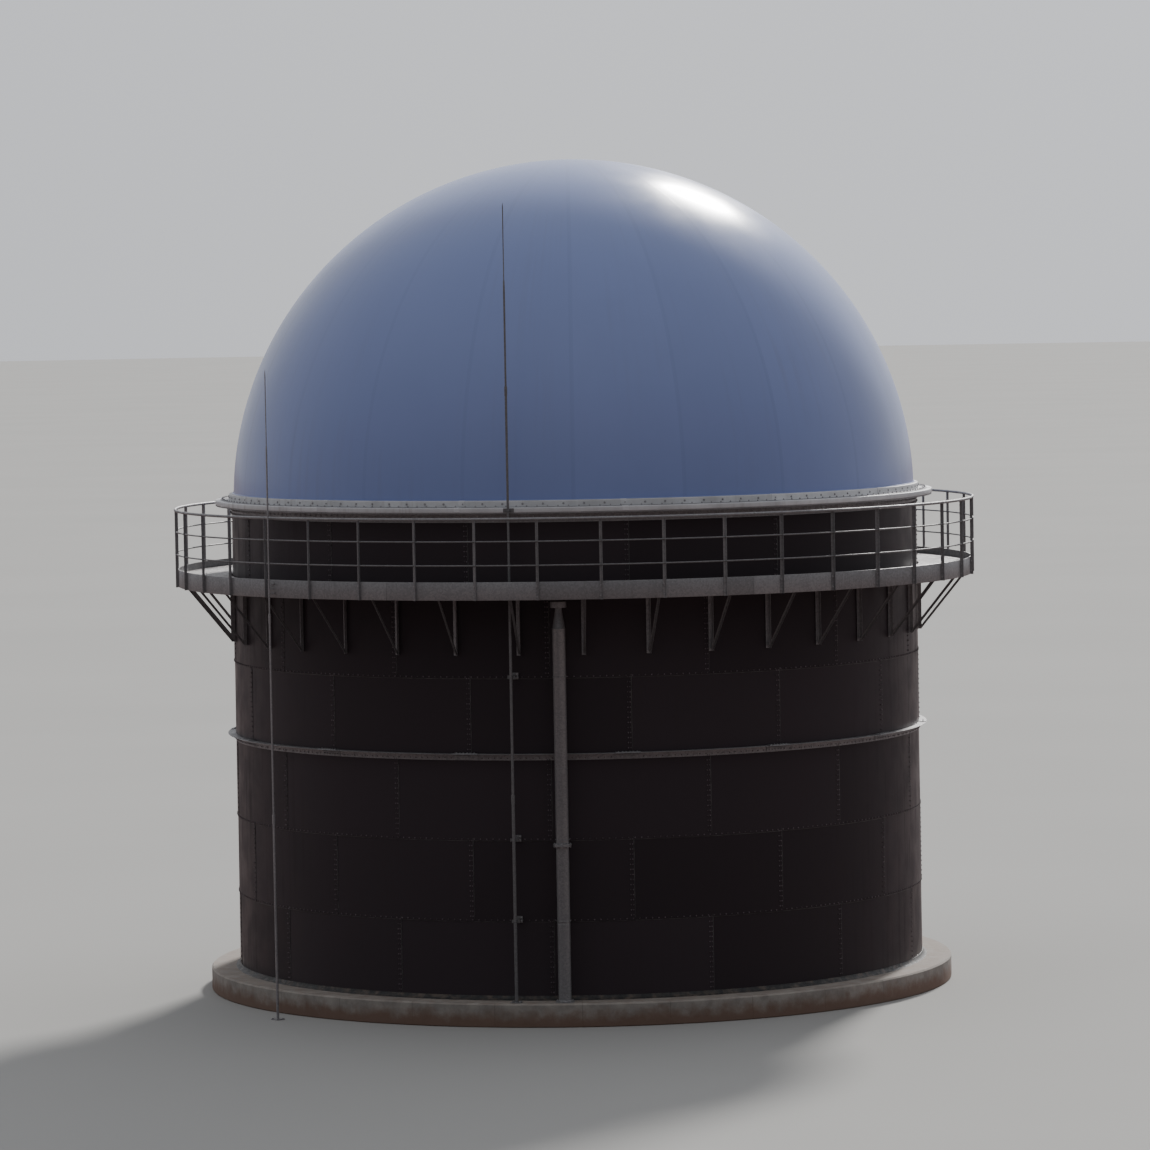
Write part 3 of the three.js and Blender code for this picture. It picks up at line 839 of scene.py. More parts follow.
def uneven_kerb(shape, amount):
    """The slab's outer face moved in and out by a few millimetres, as cast concrete is."""
    points = shape.points.copy()
    away = np.hypot(points[:, 0], points[:, 1])
    bearing = np.arctan2(points[:, 0], -points[:, 1])
    wave = smooth_random(bearing + 0.9 * points[:, 2], 11) * amount
    scale = np.where(away > SLAB_OUTER - 0.06, 1 - (amount - wave) / np.maximum(away, 1), 1)
    points[:, :2] *= scale[:, None]
    return shape._replace(points=points)


def foundation():
    """The slab with its chamfered kerb, and the mastic fillet along the wall's foot."""
    chamfer = 0.022
    face = [(SLAB_OUTER, level) for level in np.linspace(0.012, SLAB_TOP - chamfer, 8)]
    ledge = [(radius, SLAB_TOP) for radius in np.linspace(SLAB_OUTER - chamfer, WALL_OUTER - 0.05, 6)]
    middle = [(WALL_OUTER - 0.5, SLAB_TOP), (0, SLAB_TOP)]
    slab = lathe([(0, 0), (SLAB_OUTER - 0.01, 0), *face, *ledge, *middle], FINE_SIDES)
    fillet = ring(shifted([
        (-0.02, -0.004), (0.07, -0.004), (0.05, 0.012), (0.018, 0.034), (0.004, 0.065), (-0.02, 0.065),
    ], WALL_OUTER, SLAB_TOP))
    piece("foundation_kerb", ["foundation_slab"], "concrete",
          (concrete(), uneven_kerb(slab, 0.004)), (mastic(), fillet))


# Wall

def sheet_radius(along, high, lap):
    """The outer face of a lapped sheet: its far end is over its neighbour, its foot over the sheet below."""
    return WALL_OUTER - 2 * (lap + CLEAR) + lap * along + lap * (1 - high)


def wall_sheet(start, low, high, bulge, sizes):
    """One curved sheet: bearing runs along it, height up it, and it swells by bulge sin(pi u) sin(pi v)."""
    steps, rows = 20, 6
    along = np.linspace(0, 1, steps + 1)[:, None]
    up = np.linspace(0, 1, rows + 1)[None, :]
    bearing = start + along * (SHEET_TURN + sizes.side_lap / WALL_OUTER)
    level = low - sizes.foot_lap + up * (high - low + sizes.foot_lap)
    swell = bulge * np.sin(math.pi * along) * np.sin(math.pi * up)
    outer = sheet_radius(along, up, sizes.sheet) + swell
    back = polar(bearing, outer - sizes.sheet, level)[:, ::-1]
    return swept(np.concatenate([polar(bearing, outer, level), back], axis=1))


def course(index, sizes, draw):
    """The sheets, lap beads and bolts of one course. Every second course starts half a sheet further on."""
    low = WALL_FOOT + index * COURSE_HEIGHT
    high = low + COURSE_HEIGHT
    first = FIRST_POST + (0.5 if index % 2 else 0.0) * SHEET_TURN
    starts = first + np.arange(SHEETS_AROUND) * SHEET_TURN
    foot_lap = sizes.foot_lap if index else 0.0
    lap_foot = low - foot_lap
    sheets = []
    for start in starts:
        sheet = wall_sheet(start, lap_foot + sizes.foot_lap, high, draw.uniform(-0.0015, 0.0015), sizes)
        sheets.append(shaded(sheet, draw.uniform()))

    edge = starts + SHEET_TURN + sizes.side_lap / WALL_OUTER
    bead_away = sheet_radius(1, 0.5, sizes.sheet) - 0.002
    bead = upright_bar(bead_away, low, high, flat_section(0.011, 0.006, BEVEL))
    beads = [turned(bead, edge)]
    if index:
        foot_bead = [(-0.006, -0.006), (-0.001, -0.006), (0.001, 0.002), (-0.006, 0.002)]
        beads.append(ring(shifted(foot_bead, sheet_radius(0.5, 0, sizes.sheet), lap_foot), 4 * BAYS))

    levels = low + COURSE_HEIGHT / sizes.bolts_up * (np.arange(sizes.bolts_up) + 0.5)
    cap = bolt_head(sizes.cap_radius, sizes.cap_height)
    caps = []
    for inset in CAP_ROWS:
        bearing, level = np.meshgrid(edge - inset / WALL_OUTER, levels)
        out = sheet_radius(1, (level - low) / COURSE_HEIGHT, sizes.sheet)
        caps.append(turned(cap, bearing, 0, out, level, draw.uniform(size=level.size)))
    if index:
        count = sizes.bolts_along * SHEETS_AROUND
        bearing = first + even_turns(count, 0.5)
        out = sheet_radius((bearing - first) / SHEET_TURN % 1, 0.02, sizes.sheet)
        caps.append(turned(cap, bearing, 0, out, low - foot_lap / 2 + 0.004, draw.uniform(size=count)))
    return sheets, beads, caps


def wall(sizes):
    draw = np.random.default_rng(5)
    for index in range(COURSES):
        sheets, beads, caps = course(index, sizes, draw)
        node = f"shell_course_{index + 1}"
        piece(node + "_sheets", [node], "black_enamel",
              (enamel(), *sheets), (sealant(), *beads), (cap_plastic(), *caps))


# Rings

def ring_angle(foot, outer, low, high, thickness):
    """An angle's section: an upright leg with a level leg at its top, a rounded root and rounded edges."""
    root, toe = 0.01, 0.003
    side, under = foot + thickness, high - thickness
    return [
        (foot, low), (side - toe, low), (side, low + toe), (side, under - root),
        (side + root * 0.3, under - root * 0.3), (side + root, under), (outer - toe, under),
        (outer, under + toe), (outer, high - toe), (outer - toe, high), (foot, high),
    ]


def stiffener():
    """The angle round the wall with a splice plate and its bolts at each joint, and a row of wall bolts."""
    thickness, splice = 0.008, 0.009
    foot, outer = STIFFENER_FOOT - 0.006, STIFFENER_OUTER - 0.003
    low, high = STIFFENER_LOW, STIFFENER_HIGH
    side, top = foot + thickness, high + splice
    half = 0.19 / outer
    joints = FIRST_POST + even_turns(SHEETS_AROUND, 0.5)
    on_top = [(foot + 0.012, high), (outer - 0.008, high), (outer - 0.01, top), (foot + 0.014, top)]
    over = side + splice
    in_front = [(side, low + 0.008), (over, low + 0.01), (over, high - 0.03), (side, high - 0.028)]
    splices = joined(arc(on_top, -half, half, 6), arc(in_front, -half, half, 6))
    offsets = np.array([-0.14, -0.08, -0.03, 0.03, 0.08, 0.14]) / outer
    places = joints[:, None] + offsets
    piece("stiffener_angle", ["wall_stiffener_ring"], "galvanised_steel",
          (zinc(), ring(ring_angle(foot, outer, low, high, thickness)), turned(splices, joints)),
          (bright_zinc(),
           turned(stud(0.012, 0.012), places, out=foot + 0.065, up=top),
           turned(nut_and_washer(NUT, 0.012), places, out=over, up=low + 0.04),
           turned(nut_and_washer(NUT, NUT), even_turns(4 * BAYS), out=side, up=low + 0.03)))


def rim():
    """The rim: a level plate on the wall's top edge, a leg down outside the wall, and the leg's bolts."""
    leg, thickness, toe = WALL_OUTER - 0.004, 0.01, 0.003
    face, outer = leg + thickness, RIM_OUTER - 0.002
    section = [
        (RIM_INNER, WALL_TOP), (leg, WALL_TOP), (leg, RIM_LOW), (face - toe, RIM_LOW), (face, RIM_LOW + toe),
        (face, WALL_TOP - 0.01), (face + 0.01, WALL_TOP), (outer, WALL_TOP), (outer, RIM_HIGH),
        (RIM_INNER, RIM_HIGH),
    ]
    nuts = [turned(nut_and_washer(NUT, NUT), even_turns(FINE_SIDES), out=face, up=RIM_LOW + rise)
            for rise in (0.035, 0.09)]
    piece("rim_angle", ["rim_ring"], "galvanised_steel", (zinc(), ring(section)), (bright_zinc(), *nuts))


def clamping_rail():
    """The pale stepped rail that holds both membranes down, in lengths with straps over their joints.

    Its shelf is bolted down on the rim under a flat bar, and its collar stands round the dome's foot."""
    sheet, bend, over, tuck = 0.008, 0.014, 0.004, 0.002
    outer, low, shelf = SHELF_OUTER, CLAMP_LOW + CLEAR, SHELF_HIGH
    collar, high = COLLAR_OUTER, CLAMP_HIGH
    lip, inner = outer - 0.07, CLAMP_INNER + 0.004
    section = [
        (lip, low), *rounded_corner(outer - bend, low + bend, bend, -1),
        *rounded_corner(outer - bend, shelf - bend, bend, 0), (collar, shelf),
        *rounded_corner(collar - bend, high - bend, bend, 0), (inner, high), (inner, high - sheet),
        (collar - bend, high - sheet), (collar - sheet, high - bend), (collar - sheet, shelf - sheet),
        (outer - bend, shelf - sheet), (outer - sheet, shelf - bend), (outer - sheet, low + bend),
        (outer - bend, low + sheet), (lip, low + sheet),
    ]
    gap = 0.002 / outer
    joints = FIRST_POST + even_turns(SHEETS_AROUND, 0.5)
    length = arc(section, gap - SHEET_TURN / 2, SHEET_TURN / 2 - gap, 15)
    tints = np.random.default_rng(8).uniform(size=SHEETS_AROUND)

    def strap(side, top, foot, inward):
        """A strap bent over a corner of the rail, from a foot on its face to an end further in."""
        half = 0.045 / SHELF_OUTER
        return arc([
            (side - over, foot), (side + over, foot),
            *rounded_corner(side - bend, top - bend, bend + over, 0), (inward, top + over),
            (inward, top - tuck), (side - bend, top - tuck), (side - over, top - bend),
        ], -half, half, 3)

    shelf_strap = strap(outer, shelf, low + bend, collar + 0.02)
    straps = joined(shelf_strap, strap(collar, high, shelf + 0.012, inner + 0.02))
    middle, bar_high = (collar + outer) / 2, shelf + 0.009
    bar = ring(shifted(bar_section(0.056, 0.01), middle, shelf - CLEAR))
    around = even_turns(224, 0.5)
    nuts = [
        turned(stud(0.013, 0.014), around, out=middle, up=bar_high),
        turned(stud(0.005, 0.026, 5), around, out=middle, up=bar_high),
        turned(nut_and_washer(NUT, NUT), even_turns(112, 0.5), out=collar, up=(shelf + high) / 2),
    ]
    piece("clamping_rail", ["membrane_anchor_rail"], "pale_rail",
          (pale_steel(), turned(length, joints + SHEET_TURN / 2, tint=tints), turned(straps, joints)),
          (zinc(), bar), (bright_zinc(), *nuts))


# Membranes

def dome_surface(radius, rise, thickness, gores, sides, steps):
    """A thin dome on an upright skirt: radius R cos t and height h + C sin t for t from 0 to a quarter turn.

    Between its seams each gore stands out by a few millimetres, most at its foot, and above the clamp the
    cloth is drawn into short puckers that die away with height. The inner face is the same, moved in."""
    foot, crown = DOME_TOP - rise, DOME_TOP - 0.004
    inset, swell, pucker_depth, pucker_height = 0.006, 0.004, 0.006, 0.22
    turn = np.linspace(0, 1, steps + 1)[:-1] ** 0.9 * math.pi / 2
    skirt = np.linspace(DOME_LOW + 0.002, foot, 3)[:-1]
    level = np.concatenate([skirt, foot + rise * np.sin(turn)])
    across = np.concatenate([np.full(len(skirt), radius), radius * np.cos(turn)])
    bearing = even_turns(sides)
    above = level - CLAMP_HIGH
    pucker = np.exp(-np.clip(above, 0, None) / pucker_height) * (above > -0.01)
    fade = across / radius
    ripple = smooth_random(bearing * 3, 21)[:, None] * pucker * pucker_depth
    belly = swell * np.abs(np.sin(gores * bearing / 2))[:, None] * (fade ** 2 * (1 - pucker))
    outer = across - inset + ripple + belly
    outside = polar(bearing[:, None], outer, level)
    inside = polar(bearing[:, None], outer - thickness * fade, level - thickness * (1 - fade))
    grid = np.concatenate([inside[:, ::-1], outside], axis=1)
    return revolved(grid, (0, 0, crown - thickness), (0, 0, crown))


def outer_membrane(sizes):
    """The outer dome in its cloth, and the rope welt at its clamped edge."""
    rise = sizes.dome_rise
    cloth = dome_surface(DOME_RADIUS, rise, sizes.thickness, sizes.gores, sizes.gores * 14, 72)
    made = piece("outer_membrane_cloth", ["outer_membrane"], "outer_fabric", (dome_fabric(), cloth))
    path = polar(even_turns(FINE_SIDES), DOME_RADIUS + 0.004, CLAMP_HIGH + 0.004)
    rope = carried(path, round_section(0.009, 8), UP, closed=True)
    piece("membrane_welt", [], "outer_fabric", (dome_fabric(), rope))


def inner_membrane():
    """The gas membrane keeps its CAD form, and gets its own cloth."""
    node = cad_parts["inner_membrane"]
    node.data.materials.clear()
    node.data.materials.append(inner_fabric())


# Walkway

def run_bearing(index, bays):
    """Bearing of the middle of a run of bays, counted round from the first bay."""
    return FIRST_POST + (FIRST_BAY + (index + 0.5) * bays) * BAY


def spread_out(count, pitch):
    """Bearings at an even pitch about a run's middle."""
    return (np.arange(count) - (count - 1) / 2) * pitch


def bracket(sizes):
    """A bracket's steel, its strut and its bolts.

    Its arm is under the deck, its leg is bolted flat to the wall, and a strut joins their ends. The upright
    legs of all three angles lie in one plane, with a gusset in their corner."""
    inside, foot, arm_top = BAND_OUTER - 0.008, BRACKET_LOW + 0.01, DECK_TOP - sizes.tread
    leg, thickness = sizes.bracket_leg, sizes.bracket_plate
    side = leg / 2
    arm = radial_bar(hanging_angle(leg, thickness), WALL_FACE, inside, arm_top, arm_top)
    upright = upright_bar(0, foot, arm_top - thickness, mirrored(angle_section(leg, thickness)))
    strut = radial_bar(hanging_angle(sizes.strut_leg, thickness * 0.8), WALL_FACE + 0.03, inside - 0.06,
                       foot + 0.03, arm_top - leg + 0.01)
    corner = [(0, 0), (0, -0.16), (0.03, -0.16), (0.16, -0.03), (0.16, 0)]
    gusset = carried([(-thickness, 0, 0), (0, 0, 0)], corner, UP)
    gusset = moved(gusset, side, WALL_FACE + leg * 0.4, arm_top - thickness)
    levels = np.linspace(foot + 0.04, arm_top - 0.1, 5)
    nuts = turned(nut_and_washer(NUT, 0.013), 0, side - leg * 0.55, WALL_FACE + thickness, levels)
    return joined(moved(arm, side), moved(upright, side, WALL_FACE), gusset), moved(strut, side), nuts


def band_section():
    """The edge band: an upright plate whose top and bottom edges are folded inwards."""
    outer, sheet, fold, bend = BAND_OUTER - CLEAR, 0.006, 0.045, 0.008
    low, high = BAND_LOW + CLEAR, BAND_HIGH - CLEAR
    face, lip = outer - sheet, outer - fold * 0.5
    return [
        (outer - fold, low), *rounded_corner(outer - bend, low + bend, bend, -1, 2),
        *rounded_corner(outer - bend, high - bend, bend, 0, 2), (lip, high),
        (lip, high - sheet), (face, high - sheet), (face, low + sheet), (outer - fold, low + sheet),
    ]


def in_lengths(section, joints, draw):
    """A section along one sector in lengths that meet at these bearings, each with a tint of its own."""
    half = BAYS_PER_SECTOR * BAY / 2
    cuts = np.concatenate([[-half], joints, [half]])
    gap = 0.0015 / BAND_OUTER
    lengths = []
    for start, end in zip(cuts[:-1], cuts[1:]):
        made = arc(section, start + gap, end - gap, max(3, round(8 * (end - start) / BAY)))
        lengths.append(shaded(made, draw.uniform()))
    return joined(*lengths)


def walkway_sector(index, sizes, draw):
    """One sector: tread plates that meet over the brackets, band panels that meet at the posts, an angle
    under each edge of the plates, and the brackets."""
    half = BAYS_PER_SECTOR * BAY / 2 - 0.0002
    arms = spread_out(BRACKETS_PER_SECTOR, BAYS_PER_SECTOR * BAY / BRACKETS_PER_SECTOR) + BRACKET_SHIFT
    inner, outer, low, high = WALL_OUTER + 0.022, BAND_OUTER - 0.009, DECK_TOP - sizes.tread, DECK_TOP
    treads = in_lengths([
        (inner, low), (outer, low), (outer, high - CLEAR), (outer - CLEAR, high),
        (inner + CLEAR, high), (inner, high - CLEAR),
    ], arms, draw)
    panels = in_lengths(band_section(), spread_out(BAYS_PER_SECTOR, BAY), draw)
    edge, under = hanging_angle(0.05, 0.005), low - 0.0005
    edges = [arc(section, -half, half, 6 * BAYS_PER_SECTOR) for section in (
        shifted(edge, inner + 0.002, under), shifted(mirrored(edge), outer - 0.0005, under))]
    steel, strut, nuts = bracket(sizes)
    # The brackets' steel takes only the lighter tints: painted light against the shade by the wall and under
    # the deck.
    frames = turned(steel, arms, tint=draw.uniform(0.4, 1, size=len(arms)))
    heads = [turned(stud(0.009, 0.005), arms, side, inner + share * (outer - inner), high)
             for share in (0.06, 0.5, 0.94) for side in (-0.03, 0.03)]
    node = f"walkway_sector_{index + 1}"
    # The struts wear the darker copy of the zinc: painted shade.
    piece(node + "_frame", [node], "galvanised_steel",
          (tread_plate(), treads), (zinc(), *edges, frames, panels), (shade_darkened_zinc(), turned(strut, arms)),
          (bright_zinc(), turned(nuts, arms), *heads), bearing=run_bearing(index, BAYS_PER_SECTOR))


def walkway(sizes):
    draw = np.random.default_rng(17)
    for index in range(BAYS // BAYS_PER_SECTOR):
        walkway_sector(index, sizes, draw)


# Handrail

def rail_arc(radius, level, tube, start, end, sides):
    """A round rail that follows the walkway's edge between two bearings."""
    bearings = np.linspace(start, end, max(4, round(5 * (end - start) / BAY)) + 1)
    return carried(polar(bearings, radius, level), round_section(tube, sides), UP)


def post(sizes):
    """An angle post on the outside of the edge band with its cap plate, and its two bolts."""
    leg, thickness = sizes.post_leg, sizes.post_plate
    top = RAIL_HIGH - 2 * sizes.top_tube + 0.004
    section = shifted(mirrored(angle_section(leg, thickness)), leg / 2, 0)
    upright = upright_bar(POST_INNER, BAND_LOW, top, section)
    cap = plate(leg, 0.005, leg * 0.9, POST_INNER, top + 0.0005)
    levels = BAND_LOW + np.array([0.055, 0.205])
    return joined(upright, cap), turned(nut_and_washer(NUT, 0.012), 0, -0.006, POST_INNER + thickness, levels)


def handrail_panel(index, sizes, draw):
    """One panel: three angle posts and three round rails, with a sleeve where they meet the next panel's."""
    half = BAYS_PER_PANEL * BAY / 2
    posts = spread_out(BAYS_PER_PANEL, BAY)
    ladder_panel = round((LADDER_BAY - FIRST_BAY) / BAYS_PER_PANEL)
    radius = POST_INNER + sizes.post_leg / 2
    clear = sizes.post_leg / radius
    start = posts[0] - clear if index == ladder_panel else -half + 0.0003
    end = posts[-1] + clear if index == ladder_panel - 1 else half - 0.0003
    side = (sizes.post_leg - sizes.post_plate) / 2 / radius

    def rail(level, tube, sides):
        """A rail with its sleeve and its welds where it passes the posts."""
        sleeve, weld = 0.045 / radius, 0.006 / radius
        spans = [(start, end, tube)]
        if index != ladder_panel:
            spans.append((-half + 0.0004, -half + sleeve, tube + 0.0015))
        spans += [(bearing + side - weld, bearing + side + weld, tube + 0.002) for bearing in posts]
        return joined(*[rail_arc(radius, level, size, low, high, sides) for low, high, size in spans])

    upright, nuts = post(sizes)
    uprights = turned(upright, posts, tint=draw.uniform(size=len(posts)))
    top = rail(RAIL_HIGH - sizes.top_tube - CLEAR, sizes.top_tube, 16)
    rail_step = (RAIL_HIGH - DECK_TOP) / 3
    mids = [rail(DECK_TOP + rail_step * count, sizes.mid_tube, 12) for count in (1, 2)]
    node = f"handrail_panel_{index + 1}"
    # The rails below the top one wear the darker copy of the zinc: painted shade.
    piece(node + "_rails", [node], "galvanised_steel",
          (zinc(), uprights, top), (shade_darkened_zinc(), *mids), (bright_zinc(), turned(nuts, posts)),
          bearing=run_bearing(index, BAYS_PER_PANEL))


def handrail(sizes):
    draw = np.random.default_rng(23)
    for index in range(BAYS // BAYS_PER_PANEL):
        handrail_panel(index, sizes, draw)


# Masts and pipe

def pole_radius(tube, low, level):
    """A pole's radius at a level: each of its lengths is narrower than the one under it."""
    return tube - POLE_STEP * math.floor((level - low) / POLE_LENGTH)


def mast_pole(low, top, tube, sizes):
    """Tubes that narrow length by length, with a sleeve at each joint, a reducer and a thin pointed tip."""
    tip, tip_low = sizes.mast_tip, top - sizes.tip_length
    sleeve, over = 0.07, 0.004
    profile = [(0, low), (tube, low)]
    level = low + POLE_LENGTH
    while level < tip_low - 0.5:
        wide = tube + over
        profile += [(tube, level - sleeve), (wide, level - sleeve + over), (wide, level + sleeve - over)]
        tube -= POLE_STEP
        profile += [(tube, level + sleeve)]
        level += POLE_LENGTH
    profile += [(tube, tip_low - 0.02), (tube * 0.9, tip_low), (tip + over, tip_low + 0.06)]
    profile += [(tip, tip_low + 0.07), (tip, top - 0.06), (tip * 0.25, top - 0.002), (0, top - CLEAR)]
    return lathe(profile, 20)


def base_plate(half, thickness, bolt_inset):
    """A square plate that lies level about the origin, and a nut near each corner."""
    slab = radial_bar(flat_section(2 * half, thickness, BEVEL), half, -half, thickness / 2, thickness / 2)
    across, out = four_corners(half - bolt_inset, half - bolt_inset)
    return slab, turned(stud(0.014, 0.016), 0, across, out, thickness)


def wall_arms(away, tube_at):
    """Arms from bolted plates on the wall to a pole, with a U strap round it, and the plates' bolts."""
    across, rise = four_corners(0.042, 0.025)
    arms, bolts = [], []
    for level in ARM_LEVELS:
        tube = tube_at(level)
        section = shifted(angle_section(0.04, 0.005), -0.02, -0.02)
        arms += [
            plate(0.12, 0.1, 0.007, WALL_FACE, level),
            radial_bar(section, WALL_FACE + 0.004, away - tube * 0.4, level, level),
            moved(u_strap(tube + 0.006, 0.005, tube + 0.03), 0, away, level),
            plate(0.09 + tube, 0.05, 0.006, away - tube - 0.012, level),
        ]
        bolts.append(turned(nut_and_washer(NUT, 0.012), 0, across, WALL_FACE + 0.007, level + rise))
    return arms, bolts


def front_mast(sizes):
    """The pole beside the wall: it stands on the kerb, passes the deck through a collar, and has three arms
    on the wall and a strap on the rim."""
    def tube_at(level):
        return pole_radius(sizes.mast_tube, SLAB_TOP, level)

    away, deck = FRONT_MAST_AWAY, DECK_TOP
    middle = (CLAMP_LOW + SHELF_HIGH) / 2
    pole = mast_pole(SLAB_TOP, MAST_TOP, sizes.mast_tube, sizes)
    slab, nuts = base_plate(0.08, 0.01, 0.022)
    arms, bolts = wall_arms(away, tube_at)
    strap = u_strap(tube_at(middle) + 0.006, 0.005, away - RIM_OUTER - 0.004)
    collar = lathe([
        (0, deck), (0.075, deck), (0.075, deck + 0.006), (0.034, deck + 0.008),
        (0.031, deck + 0.05), (0, deck + 0.05),
    ], 20)
    piece("front_mast_pole", ["lightning_mast_front"], "galvanised_steel",
          (shade_darkened_zinc(), moved(pole, 0, away), moved(slab, 0, away, SLAB_TOP), *arms,
           moved(strap, 0, away, middle), plate(0.16, 0.06, 0.008, RIM_OUTER + CLEAR, middle),
           moved(collar, 0, away)),
          (bright_zinc(), moved(nuts, 0, away, SLAB_TOP), *bolts), bearing=FRONT_MAST)


def left_mast(sizes):
    """The pole outside the walkway: it stands on the ground and is strapped to the edge band."""
    away, tube = LEFT_MAST_AWAY, 0.02
    pole = moved(mast_pole(0.004, LEFT_MAST_TOP, tube, sizes), 0, away)
    slab, nuts = base_plate(0.074, 0.012, 0.02)
    steel, bolts = [pole, moved(slab, 0, away)], [moved(nuts, 0, away)]
    middle = (BAND_LOW + BAND_HIGH) / 2
    for level in (middle - 0.07, middle + 0.07):
        strap = u_strap(pole_radius(tube, 0, level) + 0.005, 0.0045, away - BAND_OUTER - 0.002)
        steel.append(moved(strap, 0, away, level))
        steel.append(plate(0.075, 0.03, 0.006, BAND_OUTER, level))
        bolts.append(turned(nut_and_washer(0.009, 0.01), 0, [-0.025, 0.025], BAND_OUTER + 0.006, level))
    rung = radial_bar(flat_section(0.03, 0.008, 0.001), BAND_OUTER, away, middle, middle)
    piece("left_mast_pole", ["lightning_mast_left"], "galvanised_steel",
          (bright_zinc(), *steel, rung), (bright_zinc(), *bolts), bearing=LEFT_MAST)


def flange_pair(radius, tube, low, bolts):
    """Two flange rings face to face with their bolts, about the upright axis."""
    thickness, gasket, b = 0.018, 0.003, BEVEL
    inset, joint = radius - 0.006, low + thickness
    high = low + 2 * thickness + gasket
    rings = lathe([
        (0, low), (radius - b, low), (radius, low + b), (radius, joint), (inset, joint),
        (inset, joint + gasket), (radius, joint + gasket), (radius, high - b), (radius - b, high), (0, high),
    ], 36)
    turn = even_turns(bolts)
    circle = (radius + tube) / 2
    upper = turned(stud(0.013, 0.016), turn, out=circle, up=high)
    return rings, joined(upper, turned(prism(0.013, -0.016, 0), turn, out=circle, up=low))


def process_pipe(sizes):
    """The upright pipe: a bolted foot flange, a flange pair below the cone, a neck and a capped head."""
    tube, neck, cap, foot, top = sizes.pipe_tube, sizes.pipe_neck, sizes.pipe_cap, SLAB_TOP, PIPE_TOP
    cap_low = top - 0.095
    cone_top = cap_low - 0.04
    cone_low = cone_top - 0.27
    body = lathe([
        (0, foot), (0.14, foot), (0.14, foot + 0.022), (0.138, foot + 0.024), (tube + 0.012, foot + 0.024),
        (tube, foot + 0.036), (tube, cone_low - 0.012), (tube + 0.003, cone_low - 0.006),
        (tube + 0.003, cone_low + 0.004), (tube - 0.002, cone_low + 0.01), (neck + 0.002, cone_top),
        (neck, cone_top + 0.008), (neck, cap_low), (cap - BEVEL, cap_low), (cap, cap_low + BEVEL),
        (cap, top - 0.008), (cap - 0.01, top - 0.002), (0, top - CLEAR),
    ], 40)
    low_weld, flange, high_weld = SLAB_TOP + 1.15 * np.arange(1, 4)
    weld = [(0, -0.006), (tube, -0.006), (tube + 0.003, 0), (tube, 0.006), (0, 0.006)]
    welds = [lathe(shifted(weld, 0, level), 40) for level in (low_weld, high_weld)]
    rings, ring_bolts = flange_pair(0.135, tube, flange, 8)
    turn = even_turns(8, 0.5)
    foot_bolts = turned(stud(0.013, 0.016), turn, out=0.118, up=foot + 0.024)
    cap_bolts = turned(stud(0.008, 0.009), turn[::2], out=cap - 0.014, up=top - 0.009)
    arms, wall_bolts = wall_arms(PIPE_AWAY, lambda _: tube)
    pipe, bolts = joined(body, rings, *welds), joined(ring_bolts, foot_bolts, cap_bolts)
    piece("process_pipe_body", ["process_pipe"], "galvanised_steel",
          (zinc(), moved(pipe, 0, PIPE_AWAY), *arms),
          (bright_zinc(), moved(bolts, 0, PIPE_AWAY), *wall_bolts), bearing=PIPE)


# Ladder and cage

def ladder(sizes):
    """Two flat stiles with round rungs and bolted stand-offs to the wall."""
    away, half = LADDER_AWAY, STILE_HALF
    joint = 3.25
    stile = upright_bar(away, 0, RAIL_HIGH - CLEAR, flat_section(0.016, 0.064, 0.003))
    splice = upright_bar(away, joint - 0.15, joint + 0.15, flat_section(0.03, 0.05, BEVEL))
    foot = radial_bar(flat_section(0.08, 0.01, 0.001), away - 0.05, away + 0.05, 0.005, 0.005)
    steel = [moved(part, side) for side in (-half, half) for part in (stile, splice, foot)]
    rung = carried([(-half - 0.014, -away, 0), (half + 0.014, -away, 0)], round_section(sizes.rung, 14), UP)
    steel.append(turned(rung, 0, up=RUNG_STEP * np.arange(1, int(DECK_TOP / RUNG_STEP) + 1)))
    across, rise = four_corners(0.032, 0.03)
    nut, nuts = nut_and_washer(0.012, 0.012), []
    for level in ARM_LEVELS:
        arm = radial_bar(flat_section(0.01, 0.05, BEVEL), WALL_FACE + 0.004, away - 0.02, level, level)
        for side in (-half, half):
            steel.append(moved(arm, side - math.copysign(0.013, side)))
            steel.append(plate(0.1, 0.1, 0.008, WALL_FACE, level, side))
            nuts.append(turned(nut, 0, side + across, WALL_FACE + 0.008, level + rise))
    bolt = prism(0.009, -0.02, 0.02)
    side_bolt = bolt._replace(points=bolt.points[:, [2, 0, 1]])
    splice_bolts = joint + np.array([-0.1, -0.03, 0.03, 0.1])
    nuts += [turned(side_bolt, 0, side, away, splice_bolts) for side in (-half, half)]
    piece("ladder_frame", ["ladder"], "galvanised_steel",
          (zinc(), *steel), (bright_zinc(), *nuts), bearing=LADDER)


